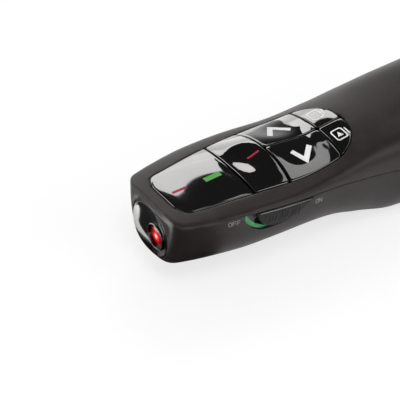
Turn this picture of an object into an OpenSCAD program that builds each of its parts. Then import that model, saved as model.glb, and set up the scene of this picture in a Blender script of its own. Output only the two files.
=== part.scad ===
/* [Body] */
// Overall length, from the nose to the tail
body_length = 115.5; // [114:0.5:117]
// Width across the widest part of the grip
grip_width = 37.8; // [37:0.2:39]
// Width at the waist, behind the arrow buttons
waist_width = 30; // [29.6:0.2:30.6]
// Width that the sides run out to at the nose, before its corners are rounded
nose_width = 21.6; // [21:0.2:22]
// Height of the grip's highest point above the table
grip_top = 27.4; // [27:0.2:28]
// Height of the nose's top edge above the table
nose_top = 21.6; // [21.4:0.1:21.9]
// Height of the nose's underside above the table
nose_under = 6.1; // [5.7:0.2:6.3]
// Plan radius of the nose's two corners
nose_corner = 2.6; // [2:0.2:3]
// Wall thickness of the two shells
wall = 1.8; // [1.6:0.1:1.9]

/* [Buttons] */
// Front edge of the gloss key area, from the nose
keys_front = 3.2; // [3:0.1:3.4]
// Joint between the status window and the laser button
window_end = 21.2; // [20.8:0.2:21.6]
// Joint between the laser button and the arrow buttons, at the sides
laser_end = 30.3; // [29.8:0.1:30.8]
// Joint between the arrow buttons and the two screen buttons
arrows_end = 45.8; // [45.4:0.1:46.2]
// Rear edge of the key area, on the centre line
keys_end = 53.3; // [53:0.1:53.5]
// Rise of the key ridge between the laser button and the arrows
ridge_rise = 2.6; // [2:0.2:2.8]
// Gap between neighbouring keys
key_gap = 0.4; // [0.3:0.05:0.5]
// Travel of a key when it is pressed
key_travel = 0.5; // [0.3:0.1:0.5]

/* [Laser] */
// Height of the beam above the table
beam_z = 11.4; // [11.2:0.05:11.5]
// Radius of the dark aperture in the nose
aperture_r = 3.4; // [3.2:0.1:3.5]
// Outside radius of the brass laser barrel
barrel_r = 3.2; // [3:0.1:3.2]

/* [Power slider] */
// Nose end of the almond-shaped pocket
pocket_start = 15.2; // [14.9:0.1:15.5]
// Length of the pocket
pocket_length = 19.2; // [19:0.1:19.6]
// Height of the pocket at its middle
pocket_depth = 5.3; // [5.2:0.05:5.4]
// Travel of the slider between ON and OFF
slider_travel = 3.2; // [2.4:0.2:3.2]

/* [Power] */
// Radius of one AAA cell
cell_r = 5.25; // [5.15:0.05:5.25]
// Length of one AAA cell, with its button
cell_length = 44.5; // [44:0.1:44.5]

/* [Receiver] */
// Width of the USB receiver's case
receiver_width = 17; // [16:0.2:17.2]
// Thickness of the USB receiver's case
receiver_height = 7.4; // [7:0.1:7.6]

/* [Hidden] */

// Stations along the body: [distance from the nose, half width, top, underside, parting line]
mid_width = (waist_width + grip_width) / 2;
stations = [
    [0, nose_width / 2, nose_top, nose_under + 0.4, nose_top - 0.4],
    [8, 13, nose_top + 0.2, nose_under, 20.95],
    [18, 14.8, nose_top + 0.7, nose_under, 20.4],
    [30, 15.5, nose_top + 1, nose_under + 0.3, 19.7],
    [42, waist_width / 2, 23.5, nose_under - 0.7, 18.8],
    [52, waist_width / 2, 25.3, 2.6, 17.7],
    [62, mid_width / 2 - 1.2, grip_top - 0.9, 0, 16.6],
    [76, mid_width / 2 + 0.3, grip_top - 0.2, -0.15, 15.6],
    [92, grip_width / 2, grip_top, -0.15, 14.8],
    [100, grip_width / 2, grip_top - 0.1, 0, 14.3],
    [body_length, grip_width / 2, grip_top - 0.1, 0, 14.3]];
// Roundness of the cross section above and below the parting line: [distance, above, below]
roundness = [[0, 4, 2.7], [18, 3.7, 2.9], [42, 2.8, 2.8], [72, 2.8, 2.8], [92, 2.6, 2.6],
    [body_length, 2.6, 2.6]];
// Half width of the gloss key area: [distance, half width]
key_widths = [[keys_front, 7.8], [6.2, 8.2], [12, 9.1], [21.2, 10.25], [34, 11.3], [45.8, 10.4],
    [keys_end, 9.6]];
// Height of the keys' crown over the shell's own curve: [distance, rise]
crowns = [[3, 0.15], [19, 0.55], [30, ridge_rise], [44, 0.7], [54, 0.05]];
crown_half = 11.3;
tail_start = 100;
tail_power = 2.4;
tail_trim = 0.998;
under_edge = 1.6;
top_edge = 0.3;
lip_inset = 1;
lip_depth = 1.2;
boss_split = 12;
screw_seat = 8;
shoulder_gap = 0.3;

// Heights inside, from the table up
board_under = 14.7;
board_top = 15.9;
switch_top = 18.2;
stem_under = switch_top + key_travel + 0.1;
flange_under = switch_top + key_travel + 0.2;
flange_top = 19.8;
flange_reach = 0.7;
key_hollow = 20.7;
plunger_under = 17.2;
front_flat = 4.3;
rear_flat = 1.2;
joint_bow = 0.5;
cradle_under = 15.25;
cradle_top = 16.1;
receiver_under = 16.4;
cell_z = 9.6;
cell_y = cell_r + 0.1;
// The battery bay and its door, from the nose
bay_start = 55.2;
bay_end = 103.4;
bay_half = 10.8;
door_start = 50.2;
door_end = 104.8;
door_half = 11.6;
door_thick = 1.5;
door_gap = 0.2;
ledge = 1.5;
plug_start = 62;
plug_length = 12;
plug_width = 12;
plug_height = 4.5;
// Centres of the key stems: [distance from the nose, across]
laser_stem = [25.8, 0];
arrow_stem = [38.1, 5.4];
screen_stem = [49, 4.2];
stems = [laser_stem, arrow_stem, [arrow_stem.x, -arrow_stem.y], screen_stem,
    [screen_stem.x, -screen_stem.y]];
board_posts = [[13, 8], [13, -8], [42.6, 9.2], [42.6, -9.2]];
waist_screws = [[53, 8.6], [53, -8.6]];
tail_screws = [[107.5, 12], [107.5, -12]];
tall = 60;

$fn = 32;

// ---- Curves of the body ----

function step_slope(t, c, i) = (t[i + 1][c] - t[i][c]) / (t[i + 1][0] - t[i][0]);

// Slope at a station that never overshoots its neighbours
function knot_slope(t, c, i) =
    i == 0 ? step_slope(t, c, 0) :
    i == len(t) - 1 ? step_slope(t, c, i - 1) :
    let (
        before = step_slope(t, c, i - 1),
        after = step_slope(t, c, i),
        back = t[i][0] - t[i - 1][0],
        ahead = t[i + 1][0] - t[i][0])
    before * after <= 0 ? 0 :
        3 * (back + ahead) / ((2 * ahead + back) / before + (ahead + 2 * back) / after);

// Smooth value of column c of a table of stations, at distance x
function smooth(t, c, x) =
    let (
        at = min(max(x, t[0][0]), t[len(t) - 1][0]),
        i = max([for (k = [0 : len(t) - 2]) if (k == 0 || at >= t[k][0]) k]),
        h = t[i + 1][0] - t[i][0],
        u = (at - t[i][0]) / h)
    (1 + 2 * u) * pow(1 - u, 2) * t[i][c] + u * pow(1 - u, 2) * h * knot_slope(t, c, i)
    + u * u * (3 - 2 * u) * t[i + 1][c] + u * u * (u - 1) * h * knot_slope(t, c, i + 1);

// How far an edge of radius r draws in at distance x from a flat end
function edge_draw(x, r) = r - sqrt(max(0, r * r - pow(max(r - x, 0), 2)));

// How much of the section is left at distance x, as the tail rounds off
function tail_share(x, inset) =
    let (t = tail_trim * min(1, max(0, (x - tail_start) / (body_length - tail_start - inset))))
    pow(1 - pow(t, tail_power), 1 / tail_power);

// Cross section at distance x, drawn in by inset: [half width, height above and depth below its
// widest line, height of that line, roundness above, roundness below]. The line is the parting line,
// or below it where a hollow's ceiling is lower than the joint.
function section(x, inset = 0) =
    let (
        share = tail_share(x, inset),
        from_end = x - inset,
        parting = smooth(stations, 4, x),
        ceiling = smooth(stations, 2, x) - edge_draw(from_end, top_edge) - inset,
        middle = inset > 0 ? min(parting, ceiling - 2) : parting,
        side = smooth(stations, 1, x) - edge_draw(from_end, max(nose_corner - inset, 0.4)) - inset,
        down = middle - smooth(stations, 3, x) - edge_draw(from_end, max(under_edge - inset, 0.4)) - inset)
    [side * share, (ceiling - middle) * share, down * share, middle,
        smooth(roundness, 1, x), smooth(roundness, 2, x)];

// Point of a rounded square of roundness n, at angle a
function round_square(a, n) =
    let (r = pow(pow(abs(cos(a)), n) + pow(abs(sin(a)), n), -1 / n))
    [r * cos(a), r * sin(a)];

// Height of the outer surface above or below the parting line, at (x, y)
function top_z(x, y) =
    let (s = section(x))
    s[3] + s[1] * pow(max(0, 1 - pow(abs(y) / s[0], s[4])), 1 / s[4]);
function under_z(x, y) =
    let (s = section(x))
    s[3] - s[2] * pow(max(0, 1 - pow(abs(y) / s[0], s[5])), 1 / s[5]);
function key_z(x, y) =
    top_z(x, y) + smooth(crowns, 1, x) * max(0, 1 - pow(y / crown_half, 2));

// Where the tail's round end lies behind the point (y, z) above the parting line
function tail_x(y, z) =
    let (
        s = section(tail_start),
        share = min(1, pow(pow(abs(y) / s[0], s[4]) + pow((z - s[3]) / s[1], s[4]), 1 / s[4])))
    tail_start + (body_length - tail_start) / tail_trim * pow(1 - pow(share, tail_power), 1 / tail_power);

// Half width of the key area at distance x, with its round corners and tail
function key_half(x) =
    let (
        front = min(1, max(0, (6.2 - x) / (6.2 - keys_front))),
        rear = min(1, max(0, (x - 43) / (keys_end - 43))))
    max(x < window_end ? front_flat : rear_flat, smooth(key_widths, 1, x)
        * pow(1 - pow(front, tail_power), 1 / tail_power) * pow(1 - pow(rear, 2.3), 1 / 2.3));

// ---- Skins over rings of points ----

function band(n, a, b) = [for (j = [0 : n - 1]) each
    [[a + j, b + j, b + (j + 1) % n], [a + j, b + (j + 1) % n, a + (j + 1) % n]]];

// Closed solid over a row of rings, with flat ends
module skin(rings) {
    n = len(rings[0]);
    last = (len(rings) - 1) * n;
    polyhedron(
        points = [for (ring = rings) each ring],
        faces = concat(
            [[for (j = [0 : n - 1]) j]],
            [for (i = [0 : len(rings) - 2]) each band(n, i * n, (i + 1) * n)],
            [[for (j = [n - 1 : -1 : 0]) last + j]]));
}

// Closed solid over rings that meet again, like a tyre
module loop_skin(rings) {
    n = len(rings[0]);
    count = len(rings);
    polyhedron(
        points = [for (ring = rings) each ring],
        faces = [for (i = [0 : count - 1]) each band(n, i * n, ((i + 1) % count) * n)]);
}

// Distances of the rings along the body, closer together where it turns
function ring_places(inset, step) = concat(
    [for (u = [0, 0.03, 0.12, 0.3, 0.6, 1]) inset + u * max(nose_corner - inset, 0.5)],
    [for (x = [5 : step : tail_start]) x],
    [for (a = [0 : 17.2 : 86]) tail_start
        + (body_length - tail_start - inset) * pow(sin(a) / sin(86), 2 / tail_power)]);

function body_ring(x, inset, step) =
    let (s = section(x, inset))
    [for (a = [0 : step : 359]) let (p = round_square(a, a <= 180 ? s[4] : s[5]))
        [x, s[0] * p.x, s[3] + (a <= 180 ? s[1] : s[2]) * p.y]];
function upper_ring(x, step) =
    let (s = section(x))
    [for (a = [0 : step : 180]) let (p = round_square(a, s[4])) [x, s[0] * p.x, s[3] + s[1] * p.y]];
function lower_ring(x, step) =
    let (s = section(x))
    [for (a = [180 : step : 360]) let (p = round_square(a, s[5])) [x, s[0] * p.x, s[3] + s[2] * p.y]];

module whole_body(inset, step_a = 15, step_x = 5) {
    skin([for (x = ring_places(inset, step_x)) body_ring(x, inset, step_a)]);
}

// Slab drawn in by inset, from a depth below the parting line to just above it
module parting_slab(inset, depth) {
    skin([for (x = ring_places(inset, 6)) let (s = section(x, inset), z = smooth(stations, 4, x))
        [[x, s[0], z - depth], [x, s[0], z + 0.3], [x, -s[0], z + 0.3], [x, -s[0], z - depth]]]);
}

module along_x(x, y, z) { translate([x, y, z]) rotate([0, 90, 0]) children(); }
module block(low, high) { translate(low) cube(high - low); }
module in_row() { translate([-body_length / 2, 0, 0]) children(); }

// ---- Shells ----

module key_opening() {
    places = [for (i = [0 : 24]) keys_front + (keys_end - keys_front) * (0.5 - 0.5 * cos(i * 7.5))];
    side = concat(
        [[keys_front - shoulder_gap, front_flat]],
        [for (x = places) [x, key_half(x) + shoulder_gap]],
        [[keys_end + shoulder_gap, rear_flat]]);
    translate([0, 0, 10]) linear_extrude(tall) polygon(concat(
        side, [for (i = [len(side) - 1 : -1 : 0]) [side[i].x, -side[i].y]]));
}

// Snap hooks that hang from the upper shell, inside the lip
module snap_hooks() {
    for (x = [40, 58, 72, 86, 98], side = [-1, 1]) {
        s = section(x);
        face = side * (s[0] - 2.45);
        block([x - 2, side * (s[0] - 1.8) - 0.3, s[3] - 1.1], [x + 2, side * (s[0] - 1.8) + 0.3, s[3] + 1]);
        hull() {
            block([x - 2, face - 0.45, s[3] - 1.1], [x + 2, face + 0.45, s[3] + 1.6]);
            block([x - 1.6, face - 0.35, s[3] - 3.3], [x + 1.6, face + 0.3, s[3] - 3.2]);
        }
    }
}

module screw_boss(p, low, high, r, turn = 0) {
    translate([p.x, p.y, low]) rotate(turn) cylinder(r = r, h = high - low, $fn = 16);
}

function receiver_ring(grow, share = 1) = [for (q = [0 : 90 : 270], a = [0, 22, 36, 45, 54, 68])
    let (p = round_square(q + a, 6)) [share * (receiver_width / 2 + grow) * p.x,
        receiver_under + receiver_height / 2 + share * (receiver_height / 2 + grow) * p.y]];

module upper_shell() {
    in_row() color([0.2, 0.19, 0.19]) difference() {
        union() {
            difference() {
                union() {
                    skin([for (x = ring_places(0, 6)) upper_ring(x, 11.25)]);
                    difference() {
                        parting_slab(lip_inset, lip_depth);
                        pocket_clearance();
                    }
                }
                whole_body(wall, 22.5, 8);
            }
            snap_hooks();
            intersection() {
                union() {
                    for (p = concat(waist_screws, tail_screws)) screw_boss(p, boss_split + 0.1, tall, 2);
                }
                whole_body(1, 30, 12);
            }
        }
        key_opening();
        for (p = concat(waist_screws, tail_screws)) screw_boss(p, 0, 19, 0.95);
        translate([tail_start, 0, 0]) rotate([90, 0, 90]) linear_extrude(30) polygon(receiver_ring(0.25));
    }
}

// Outline of the nose's oval insert, and of its round aperture: [across, height]
function nose_oval(a, grow) =
    let (p = round_square(a, 2.4)) [(8.2 + grow) * p.x, 13.4 + (6.2 + grow) * p.y];
function aperture(a, r) = [r * cos(a), beam_z + r * sin(a)];

// Edge of the slider's pocket below the parting line, at share t of its half length
function almond(t, depth, power) = depth * pow(max(0, 1 - pow(abs(t), power)), 1 / power);
function pocket_x(share) = pocket_start + pocket_length / 2 * (1 + share);
module pocket_outline(top = 0) {
    polygon(concat(
        [for (i = [-12 : 12]) let (x = pocket_x(i / 12))
            [x, smooth(stations, 4, x) - almond(i / 12, pocket_depth, 2.6)]],
        [for (i = [12 : -4 : -12]) let (x = pocket_x(i / 12)) [x, smooth(stations, 4, x) + 0.01 - top]]));
}
// Side view of the wall behind the pocket, which ends a little under the joint of the shells
module floor_outline(low, gap) {
    edge = [for (x = [13.4 : 3.6 : 35]) x];
    polygon(concat(
        [[edge[0], low], [edge[len(edge) - 1], low]],
        [for (i = [len(edge) - 1 : -1 : 0]) [edge[i], smooth(stations, 4, edge[i]) - gap]]));
}
// Where the upper shell's lip is left out, over the wall behind the pocket
module pocket_clearance() { block([13.2, -tall / 2, 10], [35.2, -12.4, 30]); }

// Solid that follows the belly from below it up to a given thickness, inside the door's outline
module door_blank(thick, grow, low) {
    rows = [for (i = [0 : 14]) door_start - grow
        + (door_end - door_start + 2 * grow) * (0.5 - 0.5 * cos(i * 180 / 14))];
    across = [for (j = [-5 : 5]) sin(j * 18)];
    function half_at(x) = (door_half + grow) * sqrt(1 - pow(min(0.9995, abs(2 * (x - door_start + grow)
        / (door_end - door_start + 2 * grow) - 1)), 24));
    function floor_z(x, y) = low ? -2 : max(0, under_z(x, y));
    skin([for (x = rows) let (half = half_at(x)) concat(
        [for (u = across) [x, u * half, floor_z(x, u * half)]],
        [for (j = [len(across) - 1 : -1 : 0]) let (y = across[j] * half)
            [x, y, max(0, under_z(x, y)) + thick]])]);
}

module post_gussets() {
    for (p = board_posts, turn = [-1, 1]) hull() {
        block([p.x + (turn < 0 ? -4.6 : 0.6), p.y - 0.4, 5], [p.x + (turn < 0 ? -0.6 : 4.6), p.y + 0.4, 5.1]);
        block([p.x - 0.6, p.y - 0.4, 13], [p.x + 0.6, p.y + 0.4, 13.1]);
    }
}

module lower_shell() {
    slot_low = [stem_low.x - slider_travel - 0.4, -tall / 2, stem_low.z - 0.3];
    slot_high = [stem_high.x + 0.4, -12, stem_high.z + 0.3];
    in_row() color([0.24, 0.22, 0.22]) difference() {
        union() {
            difference() {
                skin([for (x = ring_places(0, 6)) lower_ring(x, 11.25)]);
                whole_body(wall, 22.5, 8);
                parting_slab(wall - 0.2, 3.4);
                parting_slab(lip_inset - 0.1, lip_depth + 0.1);
            }
            intersection() {
                difference() {
                    whole_body(0.4, 30, 10);
                    whole_body(wall + ledge, 30, 10);
                }
                block([door_start - 1.4, -door_half - 1.2, -1], [door_end + 1, door_half + 1.2, 9]);
            }
            intersection() {
                union() {
                    for (p = board_posts) screw_boss(p, 4, board_under, 2.2);
                    post_gussets();
                    for (x = [4.6, 9.4]) block([x, -5, 5], [x + 1.4, 5, 9.6]);
                    block([bay_start - 1.2, -12.4, 0], [bay_start, 12.4, boss_split]);
                    block([bay_start - 1.2, -6, 0], [bay_start, 6, 15.2]);
                    block([bay_end, -12.4, 0], [bay_end + 1.2, 12.4, 15.2]);
                    for (side = [-1, 1]) block(
                        [bay_start, side * 11.5 - 0.5, 2], [bay_end, side * 11.5 + 0.5, 15.2]);
                    for (p = concat(waist_screws, tail_screws)) screw_boss(p, 2, boss_split, 2.1);
                    for (p = tail_screws) block(
                        [p.x - 0.5, min(p.y, p.y * 1.5), 8.7], [p.x + 0.5, max(p.y, p.y * 1.5), boss_split - 1]);
                    translate([0, -12.7, 0]) rotate([90, 0, 0]) linear_extrude(1.5) floor_outline(13.6, 0.1);
                }
                whole_body(0.9, 22.5, 8);
            }
        }
        // Oval opening for the nose's insert, and the laser's seat
        rotate([90, 0, 90]) translate([0, 0, -1]) linear_extrude(3.2)
            polygon([for (a = [0 : 10 : 359]) nose_oval(a, 0.1)]);
        along_x(2, 0, beam_z) cylinder(r = barrel_r + 0.05, h = 12);
        // Pocket and slot for the power slider
        translate([0, -pocket_floor, 0]) rotate([90, 0, 0]) linear_extrude(8) pocket_outline();
        block(slot_low, slot_high);
        // Battery opening and the door's seat
        block([bay_start, -bay_half, -2], [bay_end - 0.05, bay_half, 9]);
        door_blank(door_thick + 0.2, door_gap, true);
        door_tabs(0.35);
        for (p = board_posts) screw_boss(p, 9, board_under + 1, 0.95);
        for (p = concat(waist_screws, tail_screws)) {
            screw_boss(p, -1, 20, 1.1);
            screw_boss(p, -1, screw_seat, 1.72, 11.25);
        }
    }
}

// Two tabs on necks at the door's front edge, which hook over the shell. grow gives them room to swing.
module door_tabs(grow) {
    for (side = [-1, 1]) {
        low = side * 4.5 - 1.85 - grow;
        high = side * 4.5 + 1.85 + grow;
        block([door_start - 1.2 - grow, low, 4.8 - 1.6 * grow], [door_start + 2, high, 5.8 + 2 * grow]);
        block([door_start + 0.8, low, 3.4], [door_start + 2 + 5.6 * grow, high, 5.8 + 2 * grow]);
    }
}

module battery_door() {
    in_row() color([0.24, 0.22, 0.22]) {
        difference() {
            door_blank(door_thick, 0, false);
            // Finger notch at the tail edge
            translate([door_end - 2, 0, -6.6]) sphere(r = 7.6);
        }
        door_tabs(0);
    }
}

// ---- Nose and laser ----

module nose_window() {
    angles = [for (a = [0 : 10 : 359]) a];
    dish = [for (t = [0, 0.4, 0.75, 1]) [for (a = angles) let (
        rim = nose_oval(a, -0.25), hole = aperture(a, aperture_r + 0.5), p = rim * (1 - t) + hole * t)
        [0.02 + 1.1 * sin(90 * t), p.x, p.y]]];
    in_row() color([0.06, 0.06, 0.07]) loop_skin(concat(
        [[for (a = angles) let (p = nose_oval(a, 0)) [0.25, p.x, p.y]]],
        dish,
        [for (x = [1.3, 2.1]) [for (a = angles) let (p = aperture(a, aperture_r + 0.06)) [x, p.x, p.y]]],
        [[for (a = angles) let (p = nose_oval(a, 0)) [2.1, p.x, p.y]]]));
}

module aperture_ring() {
    in_row() color([0.7, 0.7, 0.72]) along_x(0.95, 0, beam_z) difference() {
        cylinder(r = aperture_r, h = 1.2);
        translate([0, 0, -1]) cylinder(r = aperture_r - 0.45, h = 4);
    }
}

module laser_barrel() {
    in_row() color([0.75, 0.6, 0.3]) along_x(2.5, 0, beam_z) difference() {
        cylinder(r = barrel_r, h = 10.5);
        translate([0, 0, -1]) cylinder(r = 1.6, h = 2.5);
        translate([0, 0, 1]) cylinder(r = barrel_r - 0.5, h = 10);
    }
}

module laser_lens() {
    in_row() color([0.9, 0.3, 0.3, 0.6]) along_x(3.6, 0, beam_z) intersection() {
        cylinder(r = barrel_r - 0.52, h = 2);
        translate([0, 0, 5]) sphere(r = 5);
    }
}

module laser_diode() {
    in_row() color([0.8, 0.7, 0.4]) {
        along_x(9, 0, beam_z) cylinder(r = 1.8, h = 1.8);
        along_x(10.8, 0, beam_z) cylinder(r = barrel_r - 0.52, h = 1.2);
    }
}

module laser_leads() {
    in_row() color([0.8, 0.8, 0.8]) for (y = [-1, 1])
        along_x(12, y, beam_z + 0.6) cylinder(r = 0.22, h = 7, $fn = 16);
}

module laser_driver_board() {
    in_row() color([0.1, 0.35, 0.2]) {
        block([13.4, -3.6, beam_z - 0.7], [24, 3.6, beam_z + 0.3]);
        block([18, -1.5, beam_z - 1.7], [21, 1.5, beam_z - 0.7]);
        block([15, 1.6, beam_z - 1.4], [16.6, 2.6, beam_z - 0.7]);
    }
}

// ---- Keys ----

// Shares of a key's length and width where its outline has points, closer together at the corners
along = [0, 0.02, 0.08, 0.2, 0.5, 0.8, 0.97, 1];
across = [0.8, 0.4, 0, -0.4, -0.8];

// Outline of a key drawn in by inset, seen from above. side is 0 for a key across the whole width,
// 1 for a key in the far half and -1 for one in the near half. reach widens its outer edge only.
function key_outline(start, end, side, inset, reach = 0) =
    let (
        grow = reach > 0 ? 0.06 : 0,
        x0 = start + inset - grow,
        x1 = end - inset + grow,
        places = [for (u = along) x0 + (x1 - x0) * u],
        rounding = [for (x = places) edge_draw(x - x0, 0.5) + edge_draw(x1 - x, 0.5)],
        outer = [for (i = [0 : len(places) - 1]) key_half(places[i]) - inset - rounding[i] + reach],
        inner = [for (i = [0 : len(places) - 1])
            side == 0 ? -outer[i] : key_gap / 2 + inset - grow + rounding[i]],
        last = len(places) - 1,
        far = [for (i = [0 : last]) [places[i], outer[i]]],
        near = [for (i = [last : -1 : 0]) [places[i], inner[i]]],
        rear = [for (u = across) [x1, (outer[last] + inner[last]) / 2 + u * (outer[last] - inner[last]) / 2]],
        front = [for (u = across) [x0, (outer[0] + inner[0]) / 2 - u * (outer[0] - inner[0]) / 2]])
    [for (p = concat(far, rear, near, front))
        [p.x + joint_shift(p.x, p.y), (side < 0 ? -1 : 1) * p.y]];

// How far the joints between the keys bow towards the tail, at (x, y)
function joint_shift(x, y) =
    let (share = min(1, max(0, (x - window_end) / (laser_end - window_end)))
        * min(1, max(0, (keys_end - x) / (keys_end - arrows_end))))
    joint_bow * share * max(0, 1 - pow(y / key_half(x), 2));

// A moulded key: crowned top, side wall, flange under the shell, hollow underside and stem
module key(start, end, side, stem) {
    first = start + (start > keys_front ? key_gap / 2 : 0);
    last = end - (end < keys_end ? key_gap / 2 : 0.3);
    middle = [(first + last) / 2, side * key_half((first + last) / 2) / 2];
    count = len(key_outline(first, last, side, 0));
    function ring(inset, share, rise) = [for (p = key_outline(first, last, side, inset))
        let (q = middle + (p - middle) * share) [q.x, q.y, key_z(q.x, q.y) + rise]];
    function level(inset, z, reach = 0) = [for (p = key_outline(first, last, side, inset, reach)) [p.x, p.y, z]];
    function column(r, z) = [for (p = key_outline(first, last, side, 0))
        let (q = p - middle, r1 = r / norm(q)) [stem.x + r1 * q.x, stem.y + r1 * q.y, z]];
    rings = concat(
        stem == undef ? [level(1.3, key_hollow), level(1.3, flange_top)] : [
            column(1.3, stem_under), column(1.3, key_hollow), level(1.3, key_hollow),
            level(1.3, flange_under), level(0, flange_under, flange_reach), level(0, flange_top, flange_reach)],
        [level(0, flange_top)],
        [ring(0, 1, -0.3), ring(0.3, 1, 0), ring(0.3, 0.7, 0), ring(0.3, 0.38, 0), ring(0.3, 0.05, 0)]);
    skin(side < 0 ? rings : [for (ring = rings) [for (i = [count - 1 : -1 : 0]) ring[i]]]);
}

module status_window() { in_row() color([0.05, 0.05, 0.05]) key(keys_front, window_end, 0, undef); }
module laser_button() { in_row() color([0.06, 0.06, 0.06]) key(window_end, laser_end, 0, laser_stem); }
module next_button() { in_row() color([0.1, 0.1, 0.1]) key(laser_end, arrows_end, 1, arrow_stem); }
module previous_button() {
    in_row() color([0.12, 0.12, 0.12]) key(laser_end, arrows_end, -1, [arrow_stem.x, -arrow_stem.y]);
}
module blank_screen_button() { in_row() color([0.14, 0.14, 0.14]) key(arrows_end, keys_end, 1, screen_stem); }
module slideshow_button() {
    in_row() color([0.16, 0.16, 0.16]) key(arrows_end, keys_end, -1, [screen_stem.x, -screen_stem.y]);
}

module plunger(p) {
    in_row() color([0.15, 0.15, 0.15]) translate([p.x, p.y, plunger_under])
        cylinder(r = 1.05, h = stem_under - plunger_under);
}
module laser_plunger() { plunger(stems[0]); }
module next_plunger() { plunger(stems[1]); }
module previous_plunger() { plunger(stems[2]); }
module blank_screen_plunger() { plunger(stems[3]); }
module slideshow_plunger() { plunger(stems[4]); }

module tact_switch_cases() {
    in_row() color([0.75, 0.75, 0.76]) for (p = stems) translate([p.x, p.y, board_top]) difference() {
        block([-2.2, -2.2, 0], [2.2, 2.2, switch_top - board_top]);
        translate([0, 0, 0.6]) cylinder(r = 1.13, h = 5);
    }
}

module status_led() {
    in_row() color([0.8, 0.95, 0.8]) block([14.9, -1.1, board_top], [16.5, 0.1, board_top + 0.8]);
}
module light_guide() {
    in_row() color([0.4, 0.8, 0.4]) block([13.6, -1.25, board_top + 0.9], [17.8, 0.25, 20.6]);
}

// ---- Power slider ----

pocket_floor = 13.75;
slider_back = 14.15;
slider_length = 15.4;
slider_depth = 4.5;
stem_low = [22.2, -slider_back - 0.05, 16.1];
stem_high = [26.2, -12.75, 17.9];
lever_low = [23.2, -14.1, 16.5];
lever_high = [25.2, -10.6, 17.4];

module slider_plate() {
    middle = pocket_start + pocket_length - slider_length / 2 - 0.3;
    skin([for (i = [-8 : 8]) let (
        t = sin(i * 90 / 8.4),
        x = middle + t * slider_length / 2,
        high = smooth(stations, 4, x) - 0.35,
        low = high - almond(t, slider_depth, 2.2) - 0.02,
        s = section(x),
        heights = [for (u = [1 : -0.25 : 0]) low + (high - low) * u])
        concat(
            [[x, -slider_back, low], [x, -slider_back, high]],
            [for (z = heights) [x, 0.1 - s[0] * pow(1 - pow((s[3] - z) / s[2], s[5]), 1 / s[5]), z]])]);
}

module slider_ribs() {
    for (group = [21.8, 25, 28.2], rib = [0 : 2]) {
        x = group + rib * 0.75;
        y = -section(x)[0];
        hull() {
            block([x, y - 0.12, 16.3], [x + 0.34, y + 0.9, 16.4]);
            block([x + 0.5, y - 0.12, 18.6], [x + 0.84, y + 0.9, 18.7]);
        }
    }
}

module power_slider() {
    in_row() color([0.12, 0.12, 0.12]) difference() {
        union() {
            slider_plate();
            slider_ribs();
            block(stem_low, stem_high);
        }
        block([lever_low.x - 0.05, -14.15, lever_low.z - 0.05], [lever_high.x + 0.05, 0, lever_high.z + 0.05]);
    }
}

module on_indicator() {
    in_row() color([0.2, 0.6, 0.25]) translate([0, -pocket_floor, 0]) rotate([90, 0, 0])
        linear_extrude(0.2) intersection() {
            translate([0.15, 0.2]) pocket_outline(0.45);
            translate([pocket_start + 0.5, 14]) square([2.8, 7]);
        }
}

module slide_switch_case() {
    in_row() color([0.72, 0.72, 0.72]) difference() {
        block([18.6, -12.4, board_top], [27.6, -8.8, switch_top]);
        block([19.8, -13, lever_low.z - 0.1], [25.4, -10.4, lever_high.z + 0.1]);
    }
}

module slide_switch_lever() {
    in_row() color([0.12, 0.12, 0.12]) block(lever_low, lever_high);
}

// ---- Boards ----

module main_board() {
    in_row() color([0.08, 0.32, 0.18]) difference() {
        translate([0, 0, board_under]) linear_extrude(board_top - board_under) polygon([
            [9.6, -9.6], [14, -11], [48.4, -11.9], [50.2, -6], [52.4, -6], [52.4, 6], [50.2, 6],
            [48.4, 11.9], [14, 11], [9.6, 9.6]]);
        for (p = board_posts) translate([p.x, p.y, 0]) cylinder(r = 1, h = tall);
    }
}

module controller_chip() { in_row() color([0.1, 0.1, 0.1]) block([30.4, -3, 13.5], [36.4, 3, board_under]); }
module radio_chip() { in_row() color([0.1, 0.1, 0.1]) block([40, -2, 13.8], [44, 2, board_under]); }
module crystal() { in_row() color([0.8, 0.8, 0.8]) block([38, -7, 13.9], [41.2, -4.5, board_under]); }
module board_capacitors() {
    in_row() color([0.6, 0.45, 0.3]) for (x = [28.2, 46.4, 48.4], y = [-5, 5])
        block([x, y - 0.4, 14], [x + 1.6, y + 0.4, board_under]);
}

module screw(p, head, head_r, shaft_r, length, up) {
    translate([p.x, p.y, head]) {
        cylinder(r = head_r, h = 1.2);
        translate([0, 0, up ? 1.2 : -length]) cylinder(r = shaft_r, h = length);
    }
}
module board_screws() {
    in_row() color([0.6, 0.6, 0.62]) for (p = board_posts) screw(p, board_top, 1.7, 0.8, 6, false);
}
module case_screws() {
    in_row() color([0.3, 0.3, 0.32]) {
        for (p = concat(waist_screws, tail_screws)) screw(p, screw_seat - 1.2, 1.6, 0.85, 9, true);
    }
}

// ---- Batteries ----

// Coil of wire that narrows along its length, from r1 to r2
module coil(r1, r2, length, turns, wire) {
    steps = 9;
    skin([for (i = [0 : turns * steps]) let (
        u = i / (turns * steps), a = i * 360 / steps, r = r1 + (r2 - r1) * u)
        [for (b = [0 : 60 : 359]) [u * length + wire * sin(b), (r + wire * cos(b)) * cos(a),
            (r + wire * cos(b)) * sin(a)]]]);
}

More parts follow.
